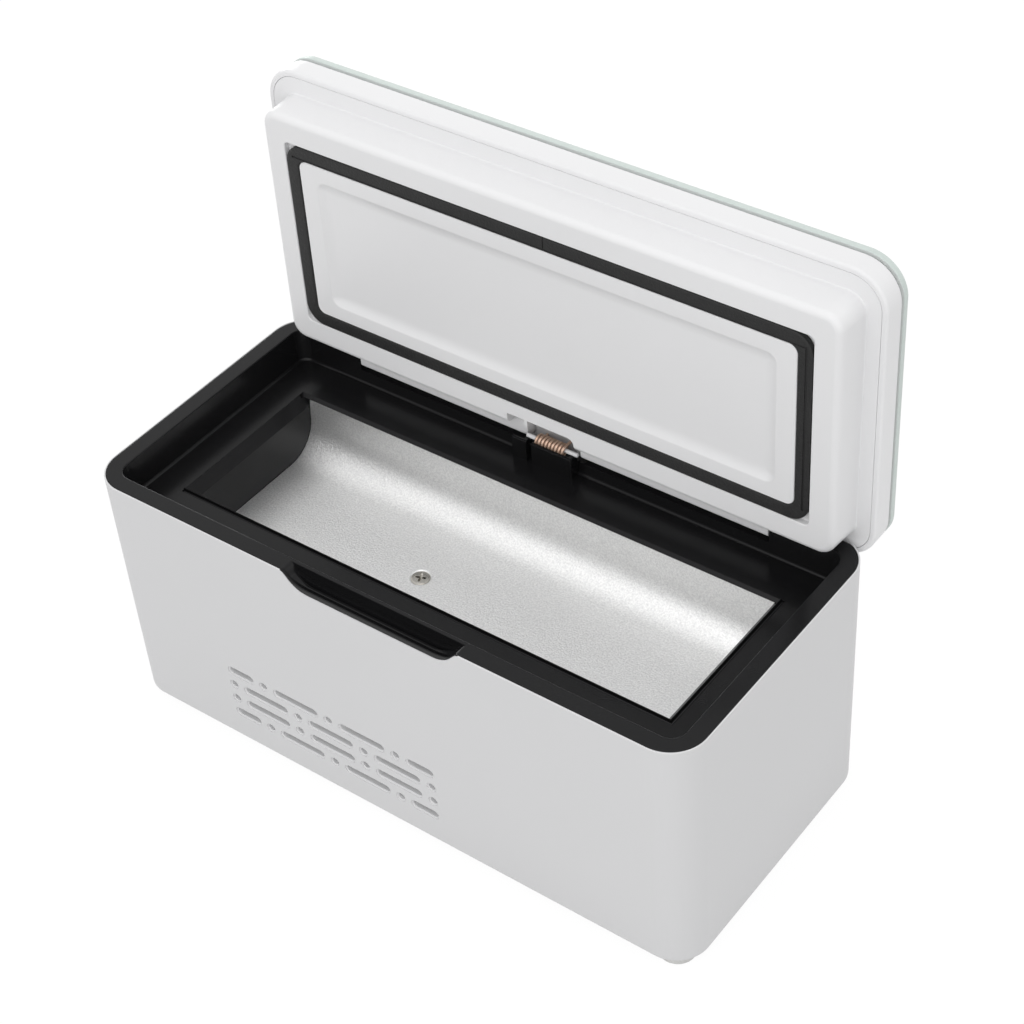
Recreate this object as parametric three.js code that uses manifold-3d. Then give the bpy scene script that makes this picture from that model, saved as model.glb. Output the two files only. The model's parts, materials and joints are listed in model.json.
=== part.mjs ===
// A portable insulin cooling case: a white housing with a black top frame round an aluminium tray,
// a thermoelectric cooler, fan and battery below the tray, and a hinged lid with a sealing plug.
// Millimetres, +Z up, X along the length, -Y to the front, the ground at z = 0.
// The lid is drawn closed and then turned open about its hinge, which is how it stands at rest.

import * as THREE from 'three';
import { mergeVertices } from 'three/addons/utils/BufferGeometryUtils.js';
import Module from 'manifold-3d';

const wasm = await Module();
wasm.setup();

// Clearances
const seatGap = 0.1;
const partGap = 0.3;
const runningGap = 0.1;
const overrun = 2;

// Facets
const cornerSteps = 5;
const roundSides = 20;
const smallSides = 10;

// Housing
const caseLength = 200;
const caseDepth = 91.5;
const rimZ = 83.3;
const footHeight = 2;
const cornerRadius = 11;
const sideTaper = 0.56;
const shellWall = 2.5;
const shellEdge = 1;
const shellLip = 0.8;
const rebateDepth = 1.6;
const bossRadius = 3.4;
const bossTop = 16;
const bossFromEnd = 31;
const bossSetIn = 2.3;

// Vents in the front wall: dots and slots in four rows
const ventTopHeight = 27.8;
const ventRowPitch = 5.67;
const ventPitch = 12.06;
const ventHeight = 3;
const ventLong = 16.4;
const ventShort = 9.6;
const ventShortStep = 8.6;
const outerRowDots = [-2, 0, 2];
const outerRowSlots = [-1, 1];
const innerRowDots = [-3, -1, 1, 3];
const innerRowSlots = [-2, 0, 2];

// Finger notch at the front of the rim
const notchX = 1.35;
const notchHalf = 29.2;
const notchFloorHalf = 22.6;
const notchDepth = 5;
const notchRound = 1;
const notchLip = 1.7;
const notchLipDepth = 0.9;
const notchBack = 4.5;
const notchRunShare = 0.62;
const notchScoopShares = [[0.2, 0.86], [0.62, 0.55]];

// Top frame
const rimWidth = 5.7;
const cavityDepth = 10.4;
const cavityDraft = 1;
const cavityCorner = 4.5;
const frameWall = 2;
const frameEdge = 0.5;

// Cooling tray, a bent sheet with curved sides
const trayFromLeftEnd = 20.4;
const trayFromRightEnd = 17.9;
const trayY = -0.8;
const trayFromSide = 13.55;
const traySheet = 1.2;
const trayLean = 0.6;
const trayCurve = 11.1;
const trayDrop = 28.5;
const trayCurveSteps = 6;
const leftEndBevel = 3.1;
const rightEndBevel = 1;
const endWall = 2;

// Hinge
const hingeInset = 3.25;
const hingeDrop = 2.77;
const lidOpenAngle = 90.48;
const hingePinRadius = 1;
const hingePinLength = 12;
const hingeFromEnd = 29;
const hingePinInset = 6.5;
const hingeRecess = 6.4;
const earLength = 7;
const earBack = 1.6;
const earDrop = 5.5;
const barGapHalf = 9.2;
const barDrop = 5.77;
const barBack = 1.25;
const barEdge = 1.2;

// Spring, its pin and the lug that carries them
const lugLeft = -12.2;
const lugRight = 8.6;
const lugReach = 4.45;
const lugWall = 1;
const lugDrop = 3.3;
const lugFloorDrop = 6;
const lugSlotHalf = 0.9;
const saddleWidth = 1.2;
const springPinInset = 1.55;
const springPinDrop = 3.35;
const springPinRadius = 0.8;
const springPinHalf = 8.4;
const springWire = 0.75;
const springRadius = 1.45;
const springHalf = 4.85;
const springTurns = 7.5;
const springStepsPerTurn = 8;
const springSides = 5;
const springLegGap = 0.15;

// Lid
const lidGap = 0.8;
const plugClearance = 0.3;
const plugDraft = 0.5;
const plugEdge = 2;
const plugCorner = 5;
const plugWall = 2;
const plugFloor = 3.2;
const flangeThick = 2;
const coverInset = 0.5;
const lidFrontOverhang = 0.4;
const coverRim = 1.7;
const coverEdge = 1;
const coverSide = 6.9;
const coverTop = 2;
const glassStep = 1;
const glassThick = 1.9;
const glassStepInset = 1.1;
const gasketFromEnd = 7.7;
const gasketFromSide = 8.35;
const gasketWidth = 4.3;
const gasketCorner = 6;
const gasketThick = 1.6;
const gasketProud = 0.1;
const grooveDepth = 1.8;
const grooveCorner = 1.2;
const panelFromEnd = 5.8;
const panelFromSide = 5.3;
const panelSlope = 2;
const panelDepth = 0.6;
const panelCorner = 1;

// Pockets in the rear edge of the plug, which clear the lug and the spring
const pocketLeft = -12.8;
const pocketRight = 10.2;
const pocketDepth = 4;
const pocketTop = 0.45;
const pocketWall = 2;
const pocketRibLeft = -6.7;
const pocketRibRight = -5.8;
const pocketRibDepth = 2.2;

// Parts under the glass and in the lid
const boardThick = 1.2;
const touchBoardHalfX = 30;
const touchBoardHalfY = 11;
const touchBoardSetIn = 21.95;
const displayHalfX = 13;
const displayHalfY = 6;
const displayThick = 0.7;
const foamMargin = 0.5;
const lidScrewFromEnd = 27.5;
const lidScrewSetIn = 4.6;
const lidBossRadius = 2.6;
const screwCoreRadius = 1;
const screwHeadRadius = 2.2;
const screwHeadDepth = 1.2;
const crossLength = 2;
const crossWidth = 0.5;
const crossDepth = 0.6;
const magnetRadius = 3;
const magnetThick = 2.5;
const magnetSetIn = 6.45;
const magnetCup = 1;

// Base plate and feet
const baseThick = 2.5;
const baseRecess = 0.3;
const footRadius = 5.5;
const footEdge = 0.5;
const footStud = 1.8;
const footStudHeight = 3.6;
const footFromEnd = 8.3;
const footFromSide = 7.55;

// Cooler
const coolerY = -3;
const coldBlockEnd = 3;
const coldBlockWidth = 40;
const coldBlockHeight = 7;
const moduleSize = 40;
const moduleThick = 3.8;
const sinkAirGap = 6.69;
const sinkBase = 4;
const finAirGap = 1.5;
const finThick = 1.2;
const finPitch = 6;
const finsEachSide = 4;
const sinkScrewPitchShare = 4.5;
const sinkScrewReach = 3;
const sensorFromTrayEnd = 42.1;
const sensorLength = 8;
const sensorRadius = 1.6;
const trayScrewRight = 4.02;
const trayScrewFront = 1.9;
const trayScrewHead = 2.9;
const trayScrewRing = 3.4;
const trayScrewDepth = 1.1;
const trayScrewReach = 6;
const foamWall = 6;
const foamFloor = 7;

// Fan
const fanSize = 60;
const fanHeight = 10;
const fanRim = 2.5;
const fanStand = 2.2;
const fanScrewSetIn = 5;
const fanHub = 12;
const fanHubPlate = 2;
const fanStrutWidth = 3;
const fanTipGap = 1.2;
const fanBladeThick = 1.1;
const fanBladeLean = 35;
const fanBlades = 7;
const fanAxle = 1.5;
const fanFloorGap = 0.4;
const fanTopGap = 0.6;
const intakeSlots = 7;
const intakeSlotWidth = 3;
const intakePitch = 6.4;

// Battery
const cellRadius = 9.15;
const cellLength = 65;
const cellEndGap = 0.74;
const cellPitch = 20;
const cellY = -3;
const cellCapRadius = 3;
const cellCapHeight = 1;
const holderWall = 1.6;
const holderFloor = 1.5;
const holderHeight = 10;

// Control board and charging socket
const boardEndGap = 1.5;
const boardHalfX = 14;
const boardFrontGap = 12.69;
const boardUnderSocket = 4;
const boardZ = 10;
const circuitThick = 1.6;
const chipHalf = 4.5;
const chipThick = 1.2;
const coilRadius = 5;
const coilHeight = 6;
const standRadius = 3;
const boardScrewFromFront = 18;
const boardScrewFromBack = 21;
const socketHalf = 5;
const socketHeight = 10;
const socketLength = 13.39;
const socketBarrel = 4;
const socketBore = 2.75;
const socketPin = 0.7;
const socketBoreDepth = 9;

// Places worked out from the sizes
const halfLength = caseLength / 2;
const halfDepth = caseDepth / 2;
const innerHalfX = halfLength - sideTaper - shellWall;
const innerHalfY = halfDepth - sideTaper - shellWall;
const bossX = halfLength - bossFromEnd;
const footX = halfLength - footFromEnd;
const footY = halfDepth - footFromSide;
const trayLeft = -halfLength + trayFromLeftEnd;
const trayRight = halfLength - trayFromRightEnd;
const hingeHalf = halfLength - hingeFromEnd;
const barHalf = hingeHalf - partGap;
const shellBottom = footHeight;
const cavityHalfX = halfLength - rimWidth;
const cavityHalfY = halfDepth - rimWidth;
const trayHalf = cavityHalfY - cavityDraft - trayFromSide;
const ledgeZ = rimZ - cavityDepth;
const hingeY = halfDepth - hingeInset;
const hingeZ = rimZ - hingeDrop;
const plugHalfX = cavityHalfX - cavityDraft - plugClearance;
const plugHalfY = cavityHalfY - cavityDraft - plugClearance;
const gasketHalfX = plugHalfX - gasketFromEnd;
const gasketHalfY = plugHalfY - gasketFromSide;
const panelHalfX = gasketHalfX - gasketWidth - panelFromEnd;
const panelHalfY = gasketHalfY - gasketWidth - panelFromSide;
const magnetY = -plugHalfY + magnetSetIn;
const faceZ = ledgeZ + plugClearance;
const flangeZ = rimZ + lidGap;
const flangeTopZ = flangeZ + flangeThick;
const coverTopZ = flangeZ + coverSide;
const glassZ = coverTopZ + glassStep;
const lidTopZ = glassZ + seatGap + glassThick;
const coverHalfX = halfLength - coverInset;
const coverHalfY = halfDepth + lidFrontOverhang / 2;
const coverY = -lidFrontOverhang / 2;
const lidScrewX = coverHalfX - lidScrewFromEnd;
const touchBoardY = -coverHalfY + touchBoardSetIn;
const coverInnerZ = glassZ - coverTop - glassStep;
const baseZ = shellBottom + baseRecess;
const baseTopZ = baseZ + baseThick;
const cellX = innerHalfX - cellEndGap - holderWall - partGap - cellLength / 2;
const boardX = -innerHalfX + boardEndGap + boardHalfX;
const coolerX = (boardX + boardHalfX + cellX - cellLength / 2 - partGap - holderWall) / 2;
const ventCentreX = coolerX;
const sensorX = trayRight - sensorFromTrayEnd;
const trayScrewX = coolerX + trayScrewRight;
const trayScrewY = coolerY - trayScrewFront;
const trayFloorZ = rimZ - trayDrop;
const trayUnderZ = trayFloorZ - traySheet;
const trayTopZ = ledgeZ - seatGap;
const coldTopZ = trayUnderZ - seatGap;
const coldBottomZ = coldTopZ - coldBlockHeight;
const moduleTopZ = coldBottomZ - seatGap;
const moduleBottomZ = moduleTopZ - moduleThick;
const sinkTopZ = moduleBottomZ - seatGap;
const sinkBaseZ = sinkTopZ - sinkBase;
const fanZ = baseTopZ + fanStand;
const fanTopZ = fanZ + fanHeight;
const finZ = fanTopZ + finAirGap;
const sinkScrewReachX = sinkScrewPitchShare * finPitch;
const sinkLength = (finsEachSide + 1) * finPitch * 2;
const sinkWidth = (innerHalfY - sinkAirGap + coolerY) * 2;
const coldBlockLength = (sinkScrewReachX + coldBlockEnd) * 2;
const fanBore = fanSize / 2 - fanRim;
const fanBladeTip = fanBore - fanTipGap;
const lugFront = cavityHalfY - lugReach;
const springPinY = cavityHalfY - springPinInset;
const springLegBack = halfDepth - shellWall - springLegGap - springPinY;
const springZ = rimZ - springPinDrop;
const socketZ = boardZ + circuitThick + socketHeight / 2;
const socketBodyBack = innerHalfY - partGap;
const socketBodyFront = socketBodyBack - socketLength;
const boardBack = socketBodyFront + boardUnderSocket;
const boardFront = -innerHalfY + boardFrontGap;
const boardScrewPlaces = [boardFront + boardScrewFromFront, boardBack - boardScrewFromBack];

// Solids

function solid(geometry) {
  const bare = geometry.clone();
  bare.deleteAttribute('normal');
  bare.deleteAttribute('uv');
  const merged = mergeVertices(bare);
  const vertProperties = new Float32Array(merged.attributes.position.array);
  const triVerts = new Uint32Array(merged.index.array);
  return new wasm.Manifold(new wasm.Mesh({ numProp: 3, vertProperties, triVerts }));
}

function geometryOf(body) {
  const mesh = body.getMesh();
  const geometry = new THREE.BufferGeometry();
  geometry.setAttribute('position', new THREE.BufferAttribute(new Float32Array(mesh.vertProperties), 3));
  geometry.setIndex(new THREE.BufferAttribute(new Uint32Array(mesh.triVerts), 1));
  geometry.computeVertexNormals();
  return geometry;
}

function join(bodies) {
  return bodies.reduce((whole, body) => whole.add(body));
}

function box(minX, maxX, minY, maxY, minZ, maxZ) {
  const geometry = new THREE.BoxGeometry(maxX - minX, maxY - minY, maxZ - minZ);
  geometry.translate((minX + maxX) / 2, (minY + maxY) / 2, (minZ + maxZ) / 2);
  return solid(geometry);
}

function post(x, y, minZ, maxZ, radius, topRadius = radius, sides = roundSides) {
  const geometry = new THREE.CylinderGeometry(topRadius, radius, maxZ - minZ, sides);
  geometry.rotateX(Math.PI / 2);
  geometry.translate(x, y, (minZ + maxZ) / 2);
  return solid(geometry);
}

function rodX(minX, maxX, y, z, radius, sides = roundSides) {
  const geometry = new THREE.CylinderGeometry(radius, radius, maxX - minX, sides);
  geometry.rotateZ(Math.PI / 2);
  geometry.translate((minX + maxX) / 2, y, z);
  return solid(geometry);
}

function rodY(minY, maxY, x, z, radius, sides = roundSides) {
  const geometry = new THREE.CylinderGeometry(radius, radius, maxY - minY, sides);
  geometry.translate(x, (minY + maxY) / 2, z);
  return solid(geometry);
}

// A profile of (y, z) points drawn along X
function alongX(points, minX, maxX) {
  const shape = new THREE.Shape(points.map(([y, z]) => new THREE.Vector2(y, z)));
  const geometry = new THREE.ExtrudeGeometry(shape, { depth: maxX - minX, bevelEnabled: false });
  const turn = new THREE.Matrix4().makeBasis(
    new THREE.Vector3(0, 1, 0), new THREE.Vector3(0, 0, 1), new THREE.Vector3(1, 0, 0));
  geometry.applyMatrix4(turn);
  geometry.translate(minX, 0, 0);
  return solid(geometry);
}

// A shape of (x, z) drawn along Y
function alongY(shape, minY, maxY, curveSegments = cornerSteps) {
  const geometry = new THREE.ExtrudeGeometry(
    shape, { depth: maxY - minY, bevelEnabled: false, curveSegments });
  const turn = new THREE.Matrix4().makeBasis(
    new THREE.Vector3(1, 0, 0), new THREE.Vector3(0, 0, 1), new THREE.Vector3(0, -1, 0));
  geometry.applyMatrix4(turn);
  geometry.translate(0, maxY, 0);
  return solid(geometry);
}

// One ring of a rounded rectangle, as points with the same count at every size
function ring(halfX, halfY, radius) {
  const points = [];
  const corners = [[1, 1], [-1, 1], [-1, -1], [1, -1]];
  corners.forEach(([signX, signY], index) => {
    for (let step = 0; step <= cornerSteps; step += 1) {
      const angle = (index + step / cornerSteps) * Math.PI / 2;
      points.push([
        signX * (halfX - radius) + radius * Math.cos(angle),
        signY * (halfY - radius) + radius * Math.sin(angle),
      ]);
    }
  });
  return points;
}

// A closed body through rounded rectangles of [z, halfX, halfY, radius], from the lowest up
function loft(levels, centreX = 0, centreY = 0) {
  const rings = levels.map(([z, halfX, halfY, radius]) =>
    ring(halfX, halfY, radius).map(([x, y]) => [x + centreX, y + centreY, z]));
  const count = rings[0].length;
  const positions = rings.flat(2);
  const faces = [];
  for (let level = 0; level + 1 < rings.length; level += 1) {
    for (let i = 0; i < count; i += 1) {
      const a = level * count + i;
      const b = level * count + (i + 1) % count;
      faces.push(a, b, b + count, a, b + count, a + count);
    }
  }
  const lowCentre = positions.length / 3;
  positions.push(centreX, centreY, levels[0][0]);
  const highCentre = lowCentre + 1;
  positions.push(centreX, centreY, levels[levels.length - 1][0]);
  const top = (rings.length - 1) * count;
  for (let i = 0; i < count; i += 1) {
    const next = (i + 1) % count;
    faces.push(lowCentre, next, i, highCentre, top + i, top + next);
  }
  const geometry = new THREE.BufferGeometry();
  geometry.setAttribute('position', new THREE.Float32BufferAttribute(positions, 3));
  geometry.setIndex(faces);
  return solid(geometry);
}

// Levels of a rounded lower edge: the outline grows from its inset size to its full size
function roundedFoot(z, halfX, halfY, radius, edge) {
  return [0, 1, 2, 3].map((step) => {
    const angle = step / 3 * Math.PI / 2;
    const inset = edge * (1 - Math.sin(angle));
    return [z + edge * (1 - Math.cos(angle)), halfX - inset, halfY - inset, radius - inset];
  });
}

function cross(x, y, topZ) {
  const half = crossLength / 2;
  const thin = crossWidth / 2;
  const floor = topZ - crossDepth;
  const roof = topZ + overrun;
  return join([
    box(x - half, x + half, y - thin, y + thin, floor, roof),
    box(x - thin, x + thin, y - half, y + half, floor, roof),
  ]);
}

// Materials

function plastic(color, roughness = 0.45) {
  return new THREE.MeshStandardMaterial({ color, roughness, metalness: 0 });
}

function metal(color, roughness = 0.35) {
  return new THREE.MeshStandardMaterial({ color, roughness, metalness: 1 });
}

const white = () => plastic(0xd9d9d9);
const black = () => plastic(0x1c1c1c, 0.3);
const rubber = () => plastic(0x232221, 0.8);
const footRubber = () => plastic(0xc9c9c7, 0.7);
const foam = () => plastic(0xe8e6df, 0.95);
const steel = () => metal(0xb4b2ae, 0.3);
const aluminium = () => metal(0xd3d4d6, 0.4);
const copper = () => metal(0x9d7a64, 0.4);
const circuit = () => plastic(0x1f5c38, 0.5);
const ceramic = () => plastic(0xf0eee8, 0.6);
const magnetMetal = () => metal(0x8f9194, 0.25);
const cellWrap = () => plastic(0x2f6fa8, 0.4);
const displayFilm = () => plastic(0x101418, 0.15);
const glass = () => plastic(0xe6ece9, 0.08);

function piece(group, name, body, material) {
  const mesh = new THREE.Mesh(geometryOf(body), material);
  mesh.name = name;
  group.add(mesh);
}

// Housing

function ventSlot(x, z, length) {
  const round = ventHeight / 2;
  const half = length / 2 - round;
  const shape = new THREE.Shape();
  shape.moveTo(x - half, z - round);
  shape.lineTo(x + half, z - round);
  shape.absarc(x + half, z, round, -Math.PI / 2, Math.PI / 2, false);
  shape.lineTo(x - half, z + round);
  shape.absarc(x - half, z, round, Math.PI / 2, Math.PI * 1.5, false);
  return shape;
}

function ventDot(x, z) {
  const shape = new THREE.Shape();
  shape.absarc(x, z, ventHeight / 2, 0, Math.PI * 2, false);
  return shape;
}

function ventShapes() {
  const shapes = [];
  for (let row = 0; row < 4; row += 1) {
    const z = shellBottom + ventTopHeight - row * ventRowPitch;
    const outer = row === 0 || row === 3;
    const dots = outer ? outerRowDots : innerRowDots;
    const slots = outer ? outerRowSlots : innerRowSlots;
    dots.forEach((place) => shapes.push(ventDot(ventCentreX + place * ventPitch, z)));
    slots.forEach((place) => shapes.push(ventSlot(ventCentreX + place * ventPitch, z, ventLong)));
    if (outer) {
      const end = 2 * ventPitch + ventShortStep;
      shapes.push(ventSlot(ventCentreX - end, z, ventShort));
      shapes.push(ventSlot(ventCentreX + end, z, ventShort));
    }
  }
  return shapes;
}

// The notch outline, open above the rim, drawn in by an inset from its sides and floor
function notchShape(inset) {
  const half = notchHalf - inset;
  const floorHalf = notchFloorHalf - inset;
  const floor = rimZ - notchDepth + inset;
  const slopeX = half - notchRound * 2;
  const slopeZ = rimZ - (notchDepth - inset) * notchRunShare;
  const cornerX = (slopeX + half) / 2 - notchRound;
  const shape = new THREE.Shape();
  shape.moveTo(notchX - half - notchRound, rimZ);
  shape.quadraticCurveTo(notchX - half, rimZ, notchX - half + notchRound / 2, rimZ - notchRound);
  shape.lineTo(notchX - slopeX, slopeZ);
  shape.quadraticCurveTo(notchX - cornerX, floor, notchX - floorHalf, floor);
  shape.lineTo(notchX + floorHalf, floor);
  shape.quadraticCurveTo(notchX + cornerX, floor, notchX + slopeX, slopeZ);
  shape.lineTo(notchX + half - notchRound / 2, rimZ - notchRound);
  shape.quadraticCurveTo(notchX + half, rimZ, notchX + half + notchRound, rimZ);
  shape.lineTo(notchX + half + notchRound, rimZ + overrun);
  shape.lineTo(notchX - half - notchRound, rimZ + overrun);
  return shape;
}

// The two wide recesses at the back that the hinge bars turn in
function barRecess(side) {
  const inner = side * (barGapHalf - partGap);
  const outer = side * hingeHalf;
  return box(Math.min(inner, outer), Math.max(inner, outer), cavityHalfY - rimWidth / 2,
    halfDepth + overrun, rimZ - hingeRecess, rimZ + overrun);
}

// The space in the frame between those recesses, for the spring and its legs
function springRecess() {
  return box(-barGapHalf, barGapHalf, cavityHalfY - rimWidth / 2, halfDepth, rimZ - hingeRecess,
    rimZ + overrun);
}

// What lies above and behind a quarter round about the hinge line, which the lid needs to turn
function rearRelief() {
  const reach = halfLength + overrun;
  const block = box(-reach, reach, hingeY, halfDepth + overrun, hingeZ, rimZ + overrun);
  return block.subtract(rodX(-reach - overrun, reach + overrun, hingeY, hingeZ, hingeInset, roundSides * 2));
}

function earPocket(side) {
  const inner = side * (hingeHalf - overrun);
  const outer = side * (hingeHalf + earLength + partGap);
  return box(Math.min(inner, outer), Math.max(inner, outer), hingeY, hingeY + earBack + partGap,
    rimZ - earDrop - partGap, rimZ + overrun);
}

function shellBody() {
  const lowX = halfLength - sideTaper;
  const lowY = halfDepth - sideTaper;
  const outer = loft([
    ...roundedFoot(shellBottom, lowX, lowY, cornerRadius, shellEdge),
    [rimZ, halfLength, halfDepth, cornerRadius],
  ]);
  const inner = loft([
    [shellBottom - overrun, lowX - shellWall, lowY - shellWall, cornerRadius - shellWall],
    [rimZ + overrun, halfLength - shellWall, halfDepth - shellWall, cornerRadius - shellWall],
  ]);
  const rebate = loft([
    [rimZ - rebateDepth, halfLength - shellLip, halfDepth - shellLip, cornerRadius - shellLip],
    [rimZ + overrun, halfLength - shellLip, halfDepth - shellLip, cornerRadius - shellLip],
  ]);
  let body = outer.subtract(inner);
  const bossY = innerHalfY - bossSetIn;
  for (const [signX, signY] of [[1, 1], [-1, 1], [-1, -1], [1, -1]]) {
    const boss = post(signX * bossX, signY * bossY, baseTopZ + seatGap, bossTop, bossRadius);
    body = body.add(boss.intersect(outer));
  }
  for (const [signX, signY] of [[1, 1], [-1, 1], [-1, -1], [1, -1]]) {
    const core = post(signX * bossX, signY * bossY, shellBottom, bossTop - seatGap - bossRadius / 2,
      screwCoreRadius + partGap, screwCoreRadius + partGap, smallSides);
    body = body.subtract(core);
  }
  body = body.subtract(rebate).subtract(barRecess(1)).subtract(barRecess(-1)).subtract(rearRelief());
  body = body.subtract(earPocket(1)).subtract(earPocket(-1));
  body = body.subtract(alongY(notchShape(0), -halfDepth - overrun, -halfDepth + shellWall + overrun));
  for (const shape of ventShapes()) {
    body = body.subtract(alongY(shape, -halfDepth - overrun, -halfDepth + shellWall + overrun));
  }
  return body.subtract(rodY(halfDepth - shellWall - overrun, halfDepth + overrun, boardX, socketZ,
    socketBarrel + partGap));
}

// Top frame

function trayWell() {
  const opening = trayHalf + traySheet + partGap;
  const low = trayUnderZ - overrun;
  const well = box(trayLeft, trayRight, trayY - opening, trayY + opening, low, rimZ);
  const bevel = (x, size, side) => alongXSlope(x, size, side, opening);
  return join([well, bevel(trayLeft, leftEndBevel, -1), bevel(trayRight, rightEndBevel, 1)]);
}

// A wedge that bevels one end of the well, from the wall's plane out over the ledge
function alongXSlope(x, size, side, halfY) {
  const shape = new THREE.Shape();
  shape.moveTo(x - side * overrun, ledgeZ - size);
  shape.lineTo(x, ledgeZ - size);
  shape.lineTo(x + side * size, ledgeZ);
  shape.lineTo(x + side * size, rimZ);
  shape.lineTo(x - side * overrun, rimZ);
  return alongY(shape, trayY - halfY, trayY + halfY);
}

function endWalls() {
  const half = trayHalf + traySheet + partGap + endWall;
  const low = trayUnderZ - seatGap;
  const high = ledgeZ - frameWall / 2;
  return join([
    box(trayLeft - endWall - leftEndBevel, trayLeft, trayY - half, trayY + half, high - leftEndBevel, high),
    box(trayLeft - endWall, trayLeft, trayY - half, trayY + half, low, high),
    box(trayRight, trayRight + endWall, trayY - half, trayY + half, low, high),
  ]);
}

function notchInsert() {
  return alongY(notchShape(partGap), -halfDepth + partGap, -cavityHalfY)
    .subtract(box(-halfLength, halfLength, -halfDepth, 0, rimZ, rimZ + overrun * 2));
}

// The scoop inside the notch's lip: level at the front, then sloping up to the rim's inner side
function notchScoop() {
  const frontY = -halfDepth - overrun;
  const lipY = -halfDepth + partGap + notchLipDepth;
  const backY = -halfDepth + notchBack;
  const depth = notchDepth - notchLip + runningGap;
  const curve = notchScoopShares.map(([along, down]) =>
    [lipY + (backY - lipY) * along, rimZ - depth * down]);
  const points = [[frontY, rimZ + overrun], [frontY, rimZ - depth], [lipY, rimZ - depth], ...curve,
    [backY, rimZ], [backY, rimZ + overrun]];
  return alongX(points, notchX - notchHalf, notchX + notchHalf).intersect(
    alongY(notchShape(notchLip), frontY - overrun, 0));
}

function springLug() {
  const floor = rimZ - lugFloorDrop;
  const back = cavityHalfY;
  const low = ledgeZ - frameWall / 2;
  const top = rimZ - lugDrop;
  const saddleBack = springPinY + springPinRadius / 2;
  const saddle = (side) => {
    const outer = side * springPinHalf;
    const inner = side * (springPinHalf - saddleWidth);
    return box(Math.min(inner, outer), Math.max(inner, outer), lugFront, saddleBack, low, springZ);
  };
  const slot = (pocketRibLeft + pocketRibRight) / 2;
  return join([
    box(lugLeft, lugRight, lugFront, back, low, floor),
    box(lugLeft, lugRight, lugFront, lugFront + lugWall, low, top),
    saddle(1),
    saddle(-1),
  ]).subtract(rodX(-springPinHalf - overrun, springPinHalf + overrun, springPinY, springZ,
    springPinRadius + runningGap)).subtract(
    box(slot - lugSlotHalf, slot + lugSlotHalf, lugFront - overrun,
      lugFront + pocketRibDepth, ledgeZ, rimZ));
}

function hingeEar(side) {
  const inner = side * (hingeHalf + partGap);
  const outer = side * (hingeHalf + earLength);
  const body = box(Math.min(inner, outer), Math.max(inner, outer), cavityHalfY + frameEdge,
    hingeY + earBack, rimZ - earDrop, rimZ);
  return body.subtract(rodX(side < 0 ? outer - overrun : inner - overrun,
    side < 0 ? inner + overrun : outer - lugWall, hingeY, hingeZ, hingePinRadius + runningGap));
}

function hingePinHole(side) {
  const inner = side * (hingeHalf - overrun);
  const outer = side * (hingeHalf + hingePinLength - hingePinInset + partGap);
  return rodX(Math.min(inner, outer), Math.max(inner, outer), hingeY, hingeZ, hingePinRadius + runningGap);
}

function frameBody() {
  const flangeHalfX = halfLength - shellLip - partGap;
  const flangeHalfY = halfDepth - shellLip - partGap;
  const flangeCorner = cornerRadius - shellLip - partGap;
  const underZ = ledgeZ - frameWall;
  const lowHalfX = cavityHalfX - cavityDraft;
  const lowHalfY = cavityHalfY - cavityDraft;
  const flange = loft([
    [rimZ - rebateDepth + seatGap, flangeHalfX, flangeHalfY, flangeCorner],
    [rimZ - frameEdge, flangeHalfX, flangeHalfY, flangeCorner],
    [rimZ, flangeHalfX - frameEdge, flangeHalfY - frameEdge, flangeCorner - frameEdge],
  ]);
  const tub = loft([
    [underZ, lowHalfX + frameWall, lowHalfY + frameWall, cavityCorner + frameWall],
    [rimZ - frameEdge, cavityHalfX + frameWall, cavityHalfY + frameWall, cavityCorner + frameWall],
  ]);
  const cavity = loft([
    [ledgeZ, lowHalfX, lowHalfY, cavityCorner - cavityDraft],
    [rimZ - frameEdge, cavityHalfX, cavityHalfY, cavityCorner],
    [rimZ, cavityHalfX + frameEdge, cavityHalfY + frameEdge, cavityCorner + frameEdge],
    [rimZ + overrun, cavityHalfX + frameEdge, cavityHalfY + frameEdge, cavityCorner + frameEdge],
  ]);
  const cup = magnetRadius + partGap + magnetCup;
  const magnetHolder = post(0, magnetY, underZ - magnetThick, underZ + frameWall / 2, cup)
    .subtract(post(0, magnetY, underZ - magnetThick - overrun, underZ - seatGap, magnetRadius + partGap));
  let body = join([flange, tub, endWalls(), notchInsert(), magnetHolder]);
  body = body.subtract(cavity).subtract(trayWell()).subtract(notchScoop());
  body = body.subtract(barRecess(1)).subtract(barRecess(-1)).subtract(springRecess());
  body = body.subtract(rearRelief());
  body = join([body, springLug(), hingeEar(1).subtract(rearRelief()), hingeEar(-1).subtract(rearRelief())]);
  return body.subtract(hingePinHole(1)).subtract(hingePinHole(-1)).subtract(trayWell());
}

// Tray and cooler

// The tray's inner face as (y, z) points from the rear top down, across the floor and up the front
function trayProfile(offset) {
  const sides = [];
  const centreHalf = trayHalf - trayLean - trayCurve;
  const radius = trayCurve + offset;
  const centreZ = trayFloorZ + trayCurve;
  sides.push([trayHalf + offset, trayTopZ]);
  for (let step = 0; step <= trayCurveSteps; step += 1) {
    const angle = step / trayCurveSteps * Math.PI / 2;
    sides.push([centreHalf + radius * Math.cos(angle), centreZ - radius * Math.sin(angle)]);
  }
  const mirrored = sides.map(([y, z]) => [-y, z]).reverse();
  return [...sides, ...mirrored].map(([y, z]) => [y + trayY, z]);
}

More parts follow.
